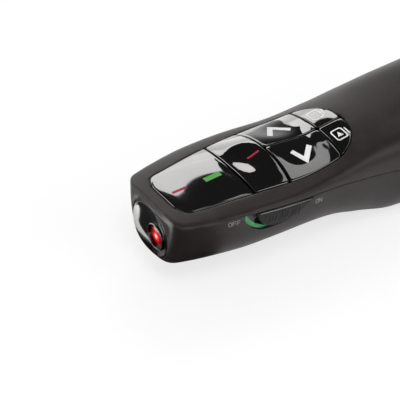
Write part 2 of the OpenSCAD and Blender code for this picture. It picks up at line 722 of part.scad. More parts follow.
module battery_springs() {
    in_row() color([0.8, 0.8, 0.8]) {
        translate([bay_start + 0.75, cell_y, cell_z]) coil(3.4, 1.8, 2.1, 3, 0.3);
        translate([bay_end - 0.75, -cell_y, cell_z]) mirror([1, 0, 0]) coil(3.4, 1.8, 2.1, 3, 0.3);
    }
}
module battery_contacts() {
    in_row() color([0.78, 0.78, 0.78]) {
        for (side = [-1, 1]) block([bay_start, side * cell_y - 4.4, 5.4], [bay_start + 0.4, side * cell_y + 4.4, 13.8]);
        for (side = [-1, 1]) block([bay_end - 0.4, side * cell_y - 4.4, 5.4], [bay_end, side * cell_y + 4.4, 13.8]);
    }
}
module aaa_cell(start, side, direction) {
    translate([start, side * cell_y, cell_z]) rotate([0, 90 * direction, 0]) {
        cylinder(r = cell_r, h = cell_length - 1.1);
        cylinder(r = 1.9, h = cell_length);
    }
}
module aaa_cell_far() { in_row() color([0.75, 0.6, 0.35]) aaa_cell(bay_end - 0.42 - cell_length, 1, 1); }
module aaa_cell_near() { in_row() color([0.75, 0.6, 0.35]) aaa_cell(bay_start + 0.42 + cell_length, -1, -1); }

// ---- Receiver ----

module receiver_cradle() {
    side_in = receiver_width / 2 + 0.35;
    in_row() color([0.3, 0.3, 0.31]) {
        block([57.5, -11.8, cradle_under], [bay_end + 1, 11.8, cradle_top]);
        for (side = [-1, 1]) block([60.6, side * (side_in + 0.5) - 0.5, cradle_top - 0.1],
            [bay_end + 1, side * (side_in + 0.5) + 0.5, 21.4]);
        block([59.6, -side_in - 1, cradle_top - 0.1], [60.7, side_in + 1, 21.4]);
    }
}

module receiver_case() {
    start = plug_start + plug_length;
    function cut(share, at_tail) = [for (p = receiver_ring(0, share))
        [at_tail ? tail_x(p.x, p.y) : start, p.x, p.y]];
    in_row() color([0.18, 0.17, 0.17]) skin([cut(1, false), cut(1, true), cut(0.75, true), cut(0.45, true),
        cut(0.12, true)]);
}

module receiver_plug_shell() {
    middle = receiver_under + receiver_height / 2;
    in_row() color([0.75, 0.75, 0.77]) difference() {
        block([plug_start, -plug_width / 2, middle - plug_height / 2],
            [plug_start + plug_length, plug_width / 2, middle + plug_height / 2]);
        block([plug_start - 1, -plug_width / 2 + 0.3, middle - plug_height / 2 + 0.3],
            [plug_start + plug_length + 1, plug_width / 2 - 0.3, middle + plug_height / 2 - 0.3]);
        for (side = [-1, 1]) translate([plug_start + 6, side * 2.8 - 1.1, middle])
            cube([2.2, 2.2, plug_height]);
    }
}

module receiver_tongue() {
    middle = receiver_under + receiver_height / 2;
    in_row() color([0.9, 0.9, 0.9]) block([plug_start + 0.6, -5.6, middle - 1.9],
        [plug_start + plug_length, 5.6, middle - 0.1]);
}

module receiver_contacts() {
    middle = receiver_under + receiver_height / 2;
    in_row() color([0.85, 0.7, 0.3]) for (y = [-3.5, -1, 1, 3.5])
        block([plug_start + 1.2, y - 0.5, middle - 0.1], [plug_start + plug_length, y + 0.5, middle]);
}

upper_shell();
lower_shell();
battery_door();
nose_window();
aperture_ring();
laser_barrel();
laser_lens();
laser_diode();
laser_leads();
laser_driver_board();
status_window();
light_guide();
status_led();
laser_button();
next_button();
previous_button();
blank_screen_button();
slideshow_button();
laser_plunger();
next_plunger();
previous_plunger();
blank_screen_plunger();
slideshow_plunger();
tact_switch_cases();
power_slider();
on_indicator();
slide_switch_case();
slide_switch_lever();
main_board();
controller_chip();
radio_chip();
crystal();
board_capacitors();
board_screws();
case_screws();
battery_springs();
battery_contacts();
aaa_cell_far();
aaa_cell_near();
receiver_cradle();
receiver_case();
receiver_plug_shell();
receiver_tongue();
receiver_contacts();
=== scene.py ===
from math import atan2, cos, dist, pi, radians, sin, sqrt

import bmesh
import bpy
from mathutils import Matrix, Vector


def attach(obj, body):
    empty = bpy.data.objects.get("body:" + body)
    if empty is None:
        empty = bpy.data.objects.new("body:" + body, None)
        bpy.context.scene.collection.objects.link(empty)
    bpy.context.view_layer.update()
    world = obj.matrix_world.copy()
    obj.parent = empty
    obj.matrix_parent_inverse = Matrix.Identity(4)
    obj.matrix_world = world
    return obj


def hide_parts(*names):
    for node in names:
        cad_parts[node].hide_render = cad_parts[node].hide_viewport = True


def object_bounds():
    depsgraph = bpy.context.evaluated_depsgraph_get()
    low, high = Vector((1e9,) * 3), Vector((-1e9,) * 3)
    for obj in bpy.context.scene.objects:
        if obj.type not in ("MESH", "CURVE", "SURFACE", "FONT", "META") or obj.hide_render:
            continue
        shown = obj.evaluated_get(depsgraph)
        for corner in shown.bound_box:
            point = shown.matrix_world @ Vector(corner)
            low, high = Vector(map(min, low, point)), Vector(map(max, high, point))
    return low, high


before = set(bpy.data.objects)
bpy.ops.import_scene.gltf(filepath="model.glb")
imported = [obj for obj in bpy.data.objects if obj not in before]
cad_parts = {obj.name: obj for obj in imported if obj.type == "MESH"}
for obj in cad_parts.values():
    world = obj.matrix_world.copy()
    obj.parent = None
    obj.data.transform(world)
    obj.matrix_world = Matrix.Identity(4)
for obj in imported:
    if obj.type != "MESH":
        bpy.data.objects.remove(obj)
cadLow, cadHigh = [list(v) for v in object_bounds()]
print("frame loaded:", len(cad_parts), "nodes")

mm = 0.001
bodyLength = (cadHigh[0] - cadLow[0]) / mm
noseShift = bodyLength / 2  # x below is measured from the nose tip, in millimetres

bodyForm = {
    # distance, half width, top, underside, parting line
    "stations": [
        (0, 10.8, 21.6, 6.5, 21.2), (8, 13, 21.8, 6.1, 20.95), (18, 14.8, 22.3, 6.1, 20.4),
        (30, 15.5, 22.6, 6.4, 19.7), (42, 15, 23.5, 5.4, 18.8), (52, 15, 25.3, 2.6, 17.7),
        (62, 15.75, 26.5, 0, 16.6), (76, 17.25, 27.2, -0.15, 15.6), (92, 18.9, 27.4, -0.15, 14.8),
        (100, 18.9, 27.3, 0, 14.3), (bodyLength, 18.9, 27.3, 0, 14.3)],
    # distance, roundness above and below the parting line
    "roundness": [(0, 4, 2.7), (18, 3.7, 2.9), (42, 2.8, 2.8), (72, 2.8, 2.8), (92, 2.6, 2.6),
                  (bodyLength, 2.6, 2.6)],
    "noseCorner": 2.6, "underEdge": 1.6, "topEdge": 0.3,
    "tailStart": 100, "tailPower": 2.4, "tailTrim": 0.998,
    "wall": 1.8, "groove": 0.19, "bevel": 0.12, "merge": 2e-5,
}
keyForm = {
    "front": 3.2, "windowEnd": 21.2, "laserEnd": 30.3, "arrowsEnd": 45.8, "rear": 53.3,
    "widths": [(3.2, 7.8), (6.2, 8.2), (12, 9.1), (21.2, 10.25), (34, 11.3), (45.8, 10.4), (53.3, 9.6)],
    "crowns": [(3, 0.15), (19, 0.55), (30, 2.6), (44, 0.7), (54, 0.05)],
    "crownHalf": 11.3, "frontFlat": 5.0, "rearFlat": 1.2, "gap": 0.4, "shoulderGap": 0.3, "rearTrim": 0.3,
    "jointBow": 0.5, "corner": 0.55, "edge": 0.22, "depth": 2.0,
    "frontTurn": (6.2, 3), "rearTurn": (43, 2.3),  # where the outline starts to close, and how squarely
    "frontRoll": (2.6, 0.05), "rearRoll": (18.7, 2.3, 0.3),  # the window's two ends
}


def stepSlope(table, column, i):
    return (table[i + 1][column] - table[i][column]) / (table[i + 1][0] - table[i][0])


def knotSlope(table, column, i):
    if i == 0:
        return stepSlope(table, column, 0)
    if i == len(table) - 1:
        return stepSlope(table, column, i - 1)
    before, after = stepSlope(table, column, i - 1), stepSlope(table, column, i)
    if before * after <= 0:
        return 0
    back, ahead = table[i][0] - table[i - 1][0], table[i + 1][0] - table[i][0]
    return 3 * (back + ahead) / ((2 * ahead + back) / before + (ahead + 2 * back) / after)


def smoothAt(table, column, x):
    # smooth curve through the stations that never overshoots
    x = min(max(x, table[0][0]), table[-1][0])
    i = max(k for k in range(len(table) - 1) if k == 0 or x >= table[k][0])
    h = table[i + 1][0] - table[i][0]
    u = (x - table[i][0]) / h
    return ((1 + 2 * u) * (1 - u) ** 2 * table[i][column] + u * (1 - u) ** 2 * h * knotSlope(table, column, i)
            + u * u * (3 - 2 * u) * table[i + 1][column] + u * u * (u - 1) * h * knotSlope(table, column, i + 1))


def edgeDraw(x, r):
    return r - sqrt(max(0, r * r - max(r - x, 0) ** 2))


def bulge(u, n):
    # how far out a rounded square of half width 1 stands at u from its middle
    return max(0, 1 - min(1, u) ** n) ** (1 / n)


def tailShare(x, inset=0):
    span = bodyLength - bodyForm["tailStart"] - inset
    t = bodyForm["tailTrim"] * min(1, max(0, (x - bodyForm["tailStart"]) / span))
    return bulge(t, bodyForm["tailPower"])


def sectionAt(x, inset=0):
    share = tailShare(x, inset)
    fromEnd = x - inset
    stations = bodyForm["stations"]
    parting = smoothAt(stations, 4, x)
    ceiling = smoothAt(stations, 2, x) - edgeDraw(fromEnd, bodyForm["topEdge"]) - inset
    middle = min(parting, ceiling - 2) if inset > 0 else parting
    side = smoothAt(stations, 1, x) - edgeDraw(fromEnd, max(bodyForm["noseCorner"] - inset, 0.4)) - inset
    down = middle - smoothAt(stations, 3, x) - edgeDraw(fromEnd, max(bodyForm["underEdge"] - inset, 0.4)) - inset
    return {"half": side * share, "up": (ceiling - middle) * share, "down": down * share, "middle": middle,
            "roundUp": smoothAt(bodyForm["roundness"], 1, x), "roundDown": smoothAt(bodyForm["roundness"], 2, x)}


def roundSquare(a, n):
    c, s = cos(a), sin(a)
    r = (abs(c) ** n + abs(s) ** n) ** (-1 / n)
    return r * c, r * s


def shellTop(x, y):
    s = sectionAt(x)
    return s["middle"] + s["up"] * bulge(abs(y) / s["half"], s["roundUp"])


def shellUnder(x, y):
    s = sectionAt(x)
    return s["middle"] - s["down"] * bulge(abs(y) / s["half"], s["roundDown"])


def sideOut(x, z):
    # how far out the side of the lower shell stands at height z
    s = sectionAt(x)
    return s["half"] * bulge(max(0, s["middle"] - z) / s["down"], s["roundDown"])


dishes = {  # finger hollows in the key tops: centre x, y, half length, half width, depth
    "laser": (26.3, -0.4, 5.3, 7.0, 0.95),
    "next": (38.2, 5.6, 6.6, 4.6, 0.28),
    "previous": (38.2, -5.6, 6.6, 4.6, 0.28),
}


def keyTop(x, y):
    rise = smoothAt(keyForm["crowns"], 1, x) * max(0, 1 - (y / keyForm["crownHalf"]) ** 2)
    for cx, cy, a, b, depth in dishes.values():
        r = ((x - cx) / a) ** 2 + ((y - cy) / b) ** 2
        if r < 1:
            rise -= depth * (1 - r) ** 2
    if x < keyForm["windowEnd"]:
        length, drop = keyForm["frontRoll"]
        rise -= drop * max(0, 1 - (x - keyForm["front"]) / length) ** 2
        start, length, drop = keyForm["rearRoll"]
        rise -= drop * max(0, (x - start) / length) ** 2 * min(1, max(0, (1.5 - y) / 3))  # near half only
    return shellTop(x, y) + rise


def keyHalf(x):
    f = keyForm
    (frontStart, m), (rearStart, n) = f["frontTurn"], f["rearTurn"]
    front = min(1, max(0, (frontStart - x) / (frontStart - f["front"])))
    rear = min(1, max(0, (x - rearStart) / (f["rear"] - rearStart)))
    half = smoothAt(f["widths"], 1, x) * bulge(front, m) * bulge(rear, n)
    return max(f["frontFlat"] if x < f["windowEnd"] else f["rearFlat"], half)


def toRow(p):
    return ((p[0] - noseShift) * mm, p[1] * mm, p[2] * mm)


def turns(count):
    return [2 * pi * k / count for k in range(count)]


def addObject(name, data):
    thing = bpy.data.objects.new(name, data)
    bpy.context.scene.collection.objects.link(thing)
    return thing


def meshObject(name, points, faces):
    mesh = bpy.data.meshes.new(name)
    mesh.from_pydata(points, [], faces)
    return addObject(name, mesh)


def tidyMesh(piece, sharp=None, merge=1e-6):
    bm = bmesh.new()
    bm.from_mesh(piece.data)
    bmesh.ops.remove_doubles(bm, verts=bm.verts, dist=merge)
    bmesh.ops.dissolve_degenerate(bm, edges=bm.edges, dist=1e-7)
    bmesh.ops.recalc_face_normals(bm, faces=bm.faces)
    bm.to_mesh(piece.data)
    bm.free()
    piece.data.shade_smooth()
    if sharp:
        piece.data.set_sharp_from_angle(angle=radians(sharp))


def loftPiece(name, rings, closedRings=False, sharp=35):
    # solid over rings of equal count; closedRings joins the last ring to the first
    n, count = len(rings[0]), len(rings)
    points = [p for ring in rings for p in ring]
    faces = []
    for i in range(count if closedRings else count - 1):
        a, b = i * n, (i + 1) % count * n
        faces += [(a + j, a + (j + 1) % n, b + (j + 1) % n, b + j) for j in range(n)]
    if not closedRings:
        faces += [tuple(reversed(range(n))), tuple(range((count - 1) * n, count * n))]
    piece = meshObject(name, [toRow(p) for p in points], faces)
    tidyMesh(piece, sharp)
    return piece


def boxPiece(name, low, high):
    x0, y0, z0 = low
    x1, y1, z1 = high
    ring = [(y0, z0), (y1, z0), (y1, z1), (y0, z1)]
    return loftPiece(name, [[(x, y, z) for y, z in ring] for x in (x0, x1)])


def freeze(piece):
    graph = bpy.context.evaluated_depsgraph_get()
    mesh = bpy.data.meshes.new_from_object(piece.evaluated_get(graph))
    piece.modifiers.clear()
    piece.data = mesh


def cutAway(piece, cutters, how="DIFFERENCE"):
    for cutter in cutters:
        step = piece.modifiers.new("cut", "BOOLEAN")
        step.operation, step.solver, step.object = how, "EXACT", cutter
        freeze(piece)
        bpy.data.objects.remove(cutter)


def softenEdges(piece, width, angle=38, segments=2):
    bevel = piece.modifiers.new("softEdges", "BEVEL")
    bevel.width, bevel.segments = width * mm, segments
    bevel.limit_method, bevel.angle_limit = "ANGLE", radians(angle)
    freeze(piece)
    tidyMesh(piece, 50)


def joinInto(piece, others):
    bm = bmesh.new()
    bm.from_mesh(piece.data)
    for other in others:
        bm.from_mesh(other.data)
        bpy.data.objects.remove(other)
    bm.to_mesh(piece.data)
    bm.free()


def newMaterial(name):
    material = bpy.data.materials.new(name)
    material.use_nodes = True
    return material, material.node_tree.nodes


def setInputs(node, values):
    # a plain value is set on the socket, another node's output is linked to it
    for key, value in values.items():
        if isinstance(value, bpy.types.NodeSocket):
            node.id_data.links.new(value, node.inputs[key])
        else:
            node.inputs[key].default_value = value


def newNode(nodes, kind, values=None, **settings):
    node = nodes.new("ShaderNode" + kind)
    for key, value in settings.items():
        setattr(node, key, value)
    setInputs(node, values or {})
    return node


def objectPlace(nodes):
    return newNode(nodes, "TexCoord").outputs["Object"]


def noise(nodes, scale, detail, stretch=None):
    place = objectPlace(nodes)
    if stretch:
        place = newNode(nodes, "Mapping", {"Vector": place, "Scale": stretch}).outputs["Vector"]
    return newNode(nodes, "TexNoise", {"Vector": place, "Scale": scale, "Detail": detail}).outputs["Fac"]


def ramp(nodes, source, stops):
    node = newNode(nodes, "ValToRGB", {"Fac": source})
    colours = node.color_ramp.elements
    while len(colours) < len(stops):
        colours.new(0.5)
    for element, (place, colour) in zip(colours, stops):
        element.position = place
        element.color = (*colour, 1)
    return node.outputs["Color"]


def finish(name, tones, rough, grain, bump, metallic=0.0, coat=0.0, coatIor=1.5, specular=0.5,
           transmission=0.0, emission=None, glow=0.0, stretch=None, wear=None):
    # tones: two colours that a broad noise mixes; rough: lowest and highest; grain and bump: fine texture
    material, nodes = newMaterial(name)
    shader = nodes["Principled BSDF"]
    setInputs(shader, {"Metallic": metallic, "Specular IOR Level": specular, "Coat Weight": coat,
                       "Coat Roughness": 0.03, "Coat IOR": coatIor, "Transmission Weight": transmission})
    if emission:
        setInputs(shader, {"Emission Color": (*emission, 1), "Emission Strength": glow})
    colour = ramp(nodes, noise(nodes, grain / 12, 2), [(0.3, tones[0]), (0.7, tones[1])])
    if wear:
        # paler where edges are rubbed
        pointed = newNode(nodes, "NewGeometry").outputs["Pointiness"]
        edges = ramp(nodes, pointed, [(0.515, (0, 0, 0)), (0.58, (1, 1, 1))])
        # a colour mix has its share on socket 0 and its colours on 6 and 7
        colour = newNode(nodes, "Mix", {0: edges, 6: colour, 7: (*wear, 1)}, data_type="RGBA").outputs[2]
    fine = noise(nodes, grain, 4, stretch)
    spread = newNode(nodes, "MapRange", {"Value": fine, "To Min": rough[0], "To Max": rough[1]})
    relief = newNode(nodes, "Bump", {"Height": fine, "Strength": bump[0], "Distance": bump[1] * mm})
    setInputs(shader, {"Base Color": colour, "Roughness": spread.outputs["Result"],
                       "Normal": relief.outputs["Normal"]})
    return material


def dress(piece, material):
    piece.data.materials.clear()
    piece.data.materials.append(material)


finishForms = {  # bump: strength, and depth in mm
    "softBlack": dict(
        tones=((0.014, 0.0096, 0.0094), (0.0185, 0.0132, 0.013)), rough=(0.3, 0.42), grain=5200,
        bump=(0.35, 0.03), specular=0.38, wear=(0.036, 0.031, 0.029)),
    "glossBlack": dict(
        tones=((0.003, 0.0026, 0.0027), (0.0046, 0.004, 0.0041)), rough=(0.03, 0.06), grain=600,
        bump=(0.02, 0.01), coat=1.0, coatIor=1.7, specular=1.0),
    "noseGloss": dict(
        tones=((0.0045, 0.004, 0.0042), (0.007, 0.006, 0.0062)), rough=(0.05, 0.09), grain=600,
        bump=(0.02, 0.01), specular=0.7),
    "satinBlack": dict(
        tones=((0.007, 0.006, 0.006), (0.011, 0.01, 0.01)), rough=(0.3, 0.42), grain=3800, bump=(0.25, 0.02),
        specular=0.22, wear=(0.03, 0.03, 0.03)),
    "cavityBlack": dict(
        tones=((0.006, 0.006, 0.006), (0.01, 0.009, 0.009)), rough=(0.5, 0.7), grain=2500, bump=(0.2, 0.02),
        specular=0.3),
    "darkChrome": dict(
        tones=((0.16, 0.16, 0.17), (0.22, 0.22, 0.23)), rough=(0.08, 0.16), grain=900, bump=(0.05, 0.01),
        metallic=1.0),
    "turnedBrass": dict(
        tones=((0.62, 0.43, 0.18), (0.74, 0.54, 0.25)), rough=(0.2, 0.34), grain=1200, bump=(0.15, 0.02),
        metallic=1.0, stretch=(12, 1, 1)),
    "tinnedSheet": dict(
        tones=((0.62, 0.62, 0.6), (0.74, 0.73, 0.72)), rough=(0.24, 0.4), grain=1400, bump=(0.15, 0.02),
        metallic=1.0, stretch=(1, 8, 1)),
    "solderMask": dict(
        tones=((0.01, 0.085, 0.035), (0.016, 0.12, 0.05)), rough=(0.22, 0.34), grain=900, bump=(0.2, 0.03),
        coat=0.3),
    "chipResin": dict(
        tones=((0.016, 0.016, 0.017), (0.026, 0.026, 0.027)), rough=(0.5, 0.65), grain=4200, bump=(0.3, 0.02)),
    "fibreCeramic": dict(
        tones=((0.36, 0.23, 0.12), (0.46, 0.3, 0.17)), rough=(0.35, 0.5), grain=2600, bump=(0.15, 0.02)),
    "zincScrew": dict(
        tones=((0.36, 0.36, 0.37), (0.48, 0.48, 0.5)), rough=(0.25, 0.42), grain=1600, bump=(0.2, 0.02),
        metallic=1.0),
    "springWire": dict(
        tones=((0.66, 0.66, 0.66), (0.78, 0.78, 0.78)), rough=(0.16, 0.26), grain=2200, bump=(0.1, 0.01),
        metallic=1.0),
    "cellJacket": dict(
        tones=((0.03, 0.032, 0.04), (0.045, 0.047, 0.056)), rough=(0.22, 0.32), grain=700, bump=(0.08, 0.02),
        coat=0.4),
    "plugWhite": dict(
        tones=((0.7, 0.7, 0.68), (0.8, 0.8, 0.78)), rough=(0.35, 0.45), grain=2600, bump=(0.1, 0.02)),
    "goldPlate": dict(
        tones=((0.8, 0.56, 0.2), (0.9, 0.66, 0.28)), rough=(0.18, 0.26), grain=1500, bump=(0.08, 0.01),
        metallic=1.0),
    "greenGuide": dict(
        tones=((0.1, 0.55, 0.22), (0.14, 0.62, 0.28)), rough=(0.12, 0.2), grain=900, bump=(0.05, 0.01),
        transmission=0.4, emission=(0.1, 0.75, 0.25), glow=0.4),
    # green print; its emission is a painted glow, the print itself gives no light
    "greenPrintPaintedGlow": dict(
        tones=((0.01, 0.11, 0.038), (0.022, 0.18, 0.065)), rough=(0.2, 0.34), grain=1500, bump=(0.15, 0.02),
        coat=0.3, emission=(0.02, 0.3, 0.1), glow=0.12),
    "greenLight": dict(
        tones=((0.02, 0.1, 0.02), (0.03, 0.13, 0.03)), rough=(0.35, 0.5), grain=1200, bump=(0.05, 0.01),
        specular=0.1, emission=(0.075, 0.25, 0.06), glow=0.85),
    # red print; its emission is a painted glow, the print itself gives no light
    "redPrintPaintedGlow": dict(
        tones=((0.2, 0.008, 0.03), (0.25, 0.012, 0.04)), rough=(0.35, 0.5), grain=1800, bump=(0.08, 0.01),
        specular=0.15, emission=(0.3, 0.012, 0.045), glow=0.35),
    "whitePrint": dict(
        tones=((0.66, 0.65, 0.65), (0.73, 0.72, 0.72)), rough=(0.3, 0.42), grain=2600, bump=(0.15, 0.01)),
    "greyPrint": dict(
        tones=((0.17, 0.165, 0.165), (0.22, 0.215, 0.215)), rough=(0.4, 0.5), grain=3200, bump=(0.15, 0.01)),
    "laserRed": dict(
        tones=((0.55, 0.01, 0.008), (0.7, 0.02, 0.012)), rough=(0.08, 0.14), grain=900, bump=(0.04, 0.01),
        transmission=0.3, emission=(0.85, 0.006, 0.018), glow=1.0),
}
finishes = {name: finish(name, **form) for name, form in finishForms.items()}
print("finishes made:", len(finishes))


def alongPlaces(inset, step):
    f = bodyForm
    nose = [inset + max(f["noseCorner"] - inset, 0.5) * (1 - cos(radians(a)))
            for a in (0, 8, 18, 30, 42, 54, 66, 78, 90)]
    middle, x = [], nose[-1] + step
    while x < f["tailStart"] - 0.5:
        middle.append(x)
        x += step
    span = bodyLength - f["tailStart"] - inset
    last = 86  # degrees round the tail's curve, just short of its tip
    tail = [f["tailStart"] + span * (sin(radians(a)) / sin(radians(last))) ** (2 / f["tailPower"])
            for a in [last * i / 22 for i in range(23)]]
    return nose + middle + tail


def wholeBody(name, inset):
    rings = []
    for x in alongPlaces(inset, 2.0):
        s = sectionAt(x, inset)
        ring = []
        for a in turns(48):
            up = a <= pi
            p = roundSquare(a, s["roundUp"] if up else s["roundDown"])
            ring.append((x, s["half"] * p[0], s["middle"] + (s["up"] if up else s["down"]) * p[1]))
        rings.append(ring)
    return loftPiece(name, rings)


def halfBody(name, upper):
    # outer form of one shell, with a fine groove along the joint
    rings, count = [], 56
    for x in alongPlaces(0, 1.0):
        s = sectionAt(x)
        reach, n = (s["up"], s["roundUp"]) if upper else (s["down"], s["roundDown"])
        sign = 1 if upper else -1
        groove = min(bodyForm["groove"], 0.3 * reach)
        side = bulge(groove / reach, n)
        first = atan2(groove / reach, side)
        inset = min(bodyForm["groove"], 0.2 * s["half"])
        ring = [(x, s["half"] * side - inset, s["middle"] + sign * 0.01)]
        for k in range(count + 1):
            a = first + (pi - 2 * first) * k / count
            p = roundSquare(a, n)
            ring.append((x, s["half"] * p[0], s["middle"] + sign * reach * p[1]))
        ring.append((x, -s["half"] * side + inset, s["middle"] + sign * 0.01))
        rings.append(ring)
    return loftPiece(name, rings, sharp=40)


def keyOpening():
    f = keyForm
    places = [f["front"] + (f["rear"] - f["front"]) * (0.5 - 0.5 * cos(pi * i / 90)) for i in range(91)]
    side = ([(f["front"] - f["shoulderGap"], f["frontFlat"])]
            + [(x, keyHalf(x) + f["shoulderGap"]) for x in places]
            + [(f["rear"] + f["shoulderGap"], f["rearFlat"])])
    outline = side + [(x, -y) for x, y in reversed(side)]
    return loftPiece("keyOpening", [[(x, y, z) for x, y in outline] for z in (8, 40)])


receiverForm = {
    "width": 17, "height": 7.4, "under": 16.4, "start": 74, "gap": 0.25, "round": 6, "slot": (98, 130),
    "edge": ((0, 0.35), (-0.04, 0.15), (-0.12, 0.04), (-0.25, 0.0)),  # outline grown by, set back by
    "face": (0.93, 0.84, 0.74, 0.62, 0.5, 0.38, 0.26, 0.14, 0.05),
}


def receiverRing(grow, share=1.0):
    f = receiverForm
    ring = []
    for a in turns(64):
        p = roundSquare(a, f["round"])
        ring.append((share * (f["width"] / 2 + grow) * p[0],
                     f["under"] + f["height"] / 2 + share * (f["height"] / 2 + grow) * p[1]))
    return ring


def makeUpperShell():
    shell = halfBody("upperShell", True)
    slot = receiverRing(receiverForm["gap"])
    cutAway(shell, [
        wholeBody("hollow", bodyForm["wall"]), keyOpening(),
        loftPiece("slot", [[(x, y, z) for y, z in slot] for x in receiverForm["slot"]])])
    tidyMesh(shell, 40, bodyForm["merge"])
    softenEdges(shell, bodyForm["bevel"])
    dress(shell, finishes["softBlack"])
    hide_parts("upper_shell")
    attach(shell, "casing")
    print("upper shell made")


noseForm = {"half": 7.3, "across": 0.8, "height": 6.2, "middle": 13.4, "round": 2.4, "beam": 11.4,
            "aperture": 3.4, "deep": 1.0, "back": 2.1}
pocketForm = {
    "start": 15.2, "length": 19.2, "depth": 5.3, "floor": 13.75,
    "wall": ((13.4, -14.3, 13.6), (35, -12.7, 19.2)),  # behind the pocket's floor
    "leverSlot": ((18.6, -14.6, 15.8), (26.6, -12, 18.2)),
    # share of the length, share of the depth
    "curve": [(0, 0), (0.05, 0.44), (0.15, 0.80), (0.30, 1.0), (0.50, 0.94), (0.70, 0.70), (0.87, 0.36), (1, 0)],
}
doorForm = {
    "start": 50.2, "end": 104.8, "half": 11.6, "square": 24, "gap": 0.2,
    "recess": 1.7, "plate": 1.5,  # how deep the shell is cut for the door, and the door's own thickness
    "ribs": {"first": 86, "count": 6, "step": 1.8, "width": 0.9, "half": 7, "deep": 0.3},
    "notch": {"x": 102.8, "z": -6.6, "round": 7.6},  # finger notch at the tail edge
    # x from the door's front edge, half width, low and high z
    "tabs": {"y": 4.5, "tip": ((-1.2, 2), 1.85, (4.8, 5.8)), "neck": ((0.8, 1.95), 1.8, (3.4, 5.75))},
}
bayForm = {
    "opening": ((55.2, -10.8, -2), (103.4, 10.8, 9)),
    "walls": (((54, -12.4, 1.7), (55.2, 12.4, 12)), ((103.4, -12.4, 1.7), (104.6, 12.4, 15.2)),
              ((55.2, 11, 2), (103.4, 12, 15.2)), ((55.2, -12, 2), (103.4, -11, 15.2))),
}
screws = {"places": [(53, 8.6), (53, -8.6), (107.5, 12), (107.5, -12)], "bore": 1.72, "boss": 2.1, "bossTop": 12}


def pocketDrop(t, depth):
    # how far the pocket's or slider's lower edge hangs below the joint, t from -1 at the nose end to 1
    return depth * smoothAt(pocketForm["curve"], 1, (1 + t) / 2)


def partingAt(x):
    return smoothAt(bodyForm["stations"], 4, x)


def noseOval(a, grow):
    p = roundSquare(a, noseForm["round"])
    return (noseForm["across"] + (noseForm["half"] + grow) * p[0],
            noseForm["middle"] + (noseForm["height"] + grow) * p[1])


def pocketCutter():
    f = pocketForm
    steps = 40
    lower, upper = [], []
    for i in range(-steps, steps + 1):
        t = sin(pi / 2 * i / steps)
        x = f["start"] + f["length"] / 2 * (1 + t)
        lower.append((x, partingAt(x) - pocketDrop(t, f["depth"])))
        upper.append((x, partingAt(x) + 0.5))
    outline = lower + upper[::-1]
    return loftPiece("pocketCutter", [[(x, y, z) for x, z in outline] for y in (-30, -f["floor"])])


def doorHalf(x, grow):
    f = doorForm
    along = abs(2 * x - f["start"] - f["end"]) / (f["end"] - f["start"] + 2 * grow)
    return (f["half"] + grow) * sqrt(1 - min(0.9995, along) ** f["square"])


def doorPlaces(grow, extra=()):
    f = doorForm
    middle, reach = (f["start"] + f["end"]) / 2, (f["end"] - f["start"]) / 2 + grow
    shares = [sin(radians(a)) ** (2 / f["square"]) for a in range(3, 91, 3)]
    shares += [k / 30 for k in range(1, 23)]
    return sorted([middle] + [middle + reach * q * side for q in shares for side in (-1, 1)] + list(extra))


def doorCutter():
    rows = []
    for x in doorPlaces(doorForm["gap"]):
        half = doorHalf(x, doorForm["gap"])
        across = [sin(radians(j * 10)) * half for j in range(-9, 10)]
        rows.append([(x, y, -2) for y in across]
                    + [(x, y, max(0, shellUnder(x, y)) + doorForm["recess"]) for y in reversed(across)])
    return loftPiece("doorCutter", rows)


def makeDoor():
    f = doorForm
    ribs, notch = f["ribs"], f["notch"]

    def outside(x, y):
        z = max(0, shellUnder(x, y))
        for rib in range(ribs["count"]):
            off = abs(x - ribs["first"] - rib * ribs["step"]) / (ribs["width"] / 2)
            if off < 1:
                edge = min(1, max(0, (ribs["half"] - abs(y)) / 0.5))
                z += ribs["deep"] * cos(pi / 2 * off) ** 0.6 * edge
        under = notch["round"] ** 2 - (x - notch["x"]) ** 2 - y ** 2
        return max(z, notch["z"] + sqrt(under)) if under > 0 else z

    last = ribs["first"] + ribs["count"] * ribs["step"]
    fine = [ribs["first"] - 0.6 + 0.1 * k for k in range(int((last - ribs["first"]) / 0.1))]
    fine += [notch["x"] - 4 + 0.25 * k for k in range(23)]
    rows = []
    for x in doorPlaces(0, fine):
        half = doorHalf(x, 0)
        across = [half * sin(radians(90 * j / 24)) for j in range(-24, 25)]
        rows.append([(x, y, outside(x, y)) for y in across]
                    + [(x, y, max(0, shellUnder(x, y)) + f["plate"]) for y in reversed(across)])
    door = loftPiece("batteryDoor", rows, sharp=42)
    tabs = []
    for y in (-f["tabs"]["y"], f["tabs"]["y"]):
        for (x0, x1), half, (z0, z1) in (f["tabs"]["tip"], f["tabs"]["neck"]):
            tabs.append(boxPiece("tab", (f["start"] + x0, y - half, z0), (f["start"] + x1, y + half, z1)))
    joinInto(door, tabs)
    dress(door, finishes["softBlack"])
    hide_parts("battery_door")
    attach(door, "battery_door")
    print("battery door made")


def flatRing(x, y, z, r):
    return [(x + r * cos(a), y + r * sin(a), z) for a in turns(40)]


def tubePiece(name, x, y, low, high, outer, inner):
    sides = ((outer, low), (outer, high), (inner, high), (inner, low))
    return loftPiece(name, [flatRing(x, y, z, r) for r, z in sides], closedRings=True)


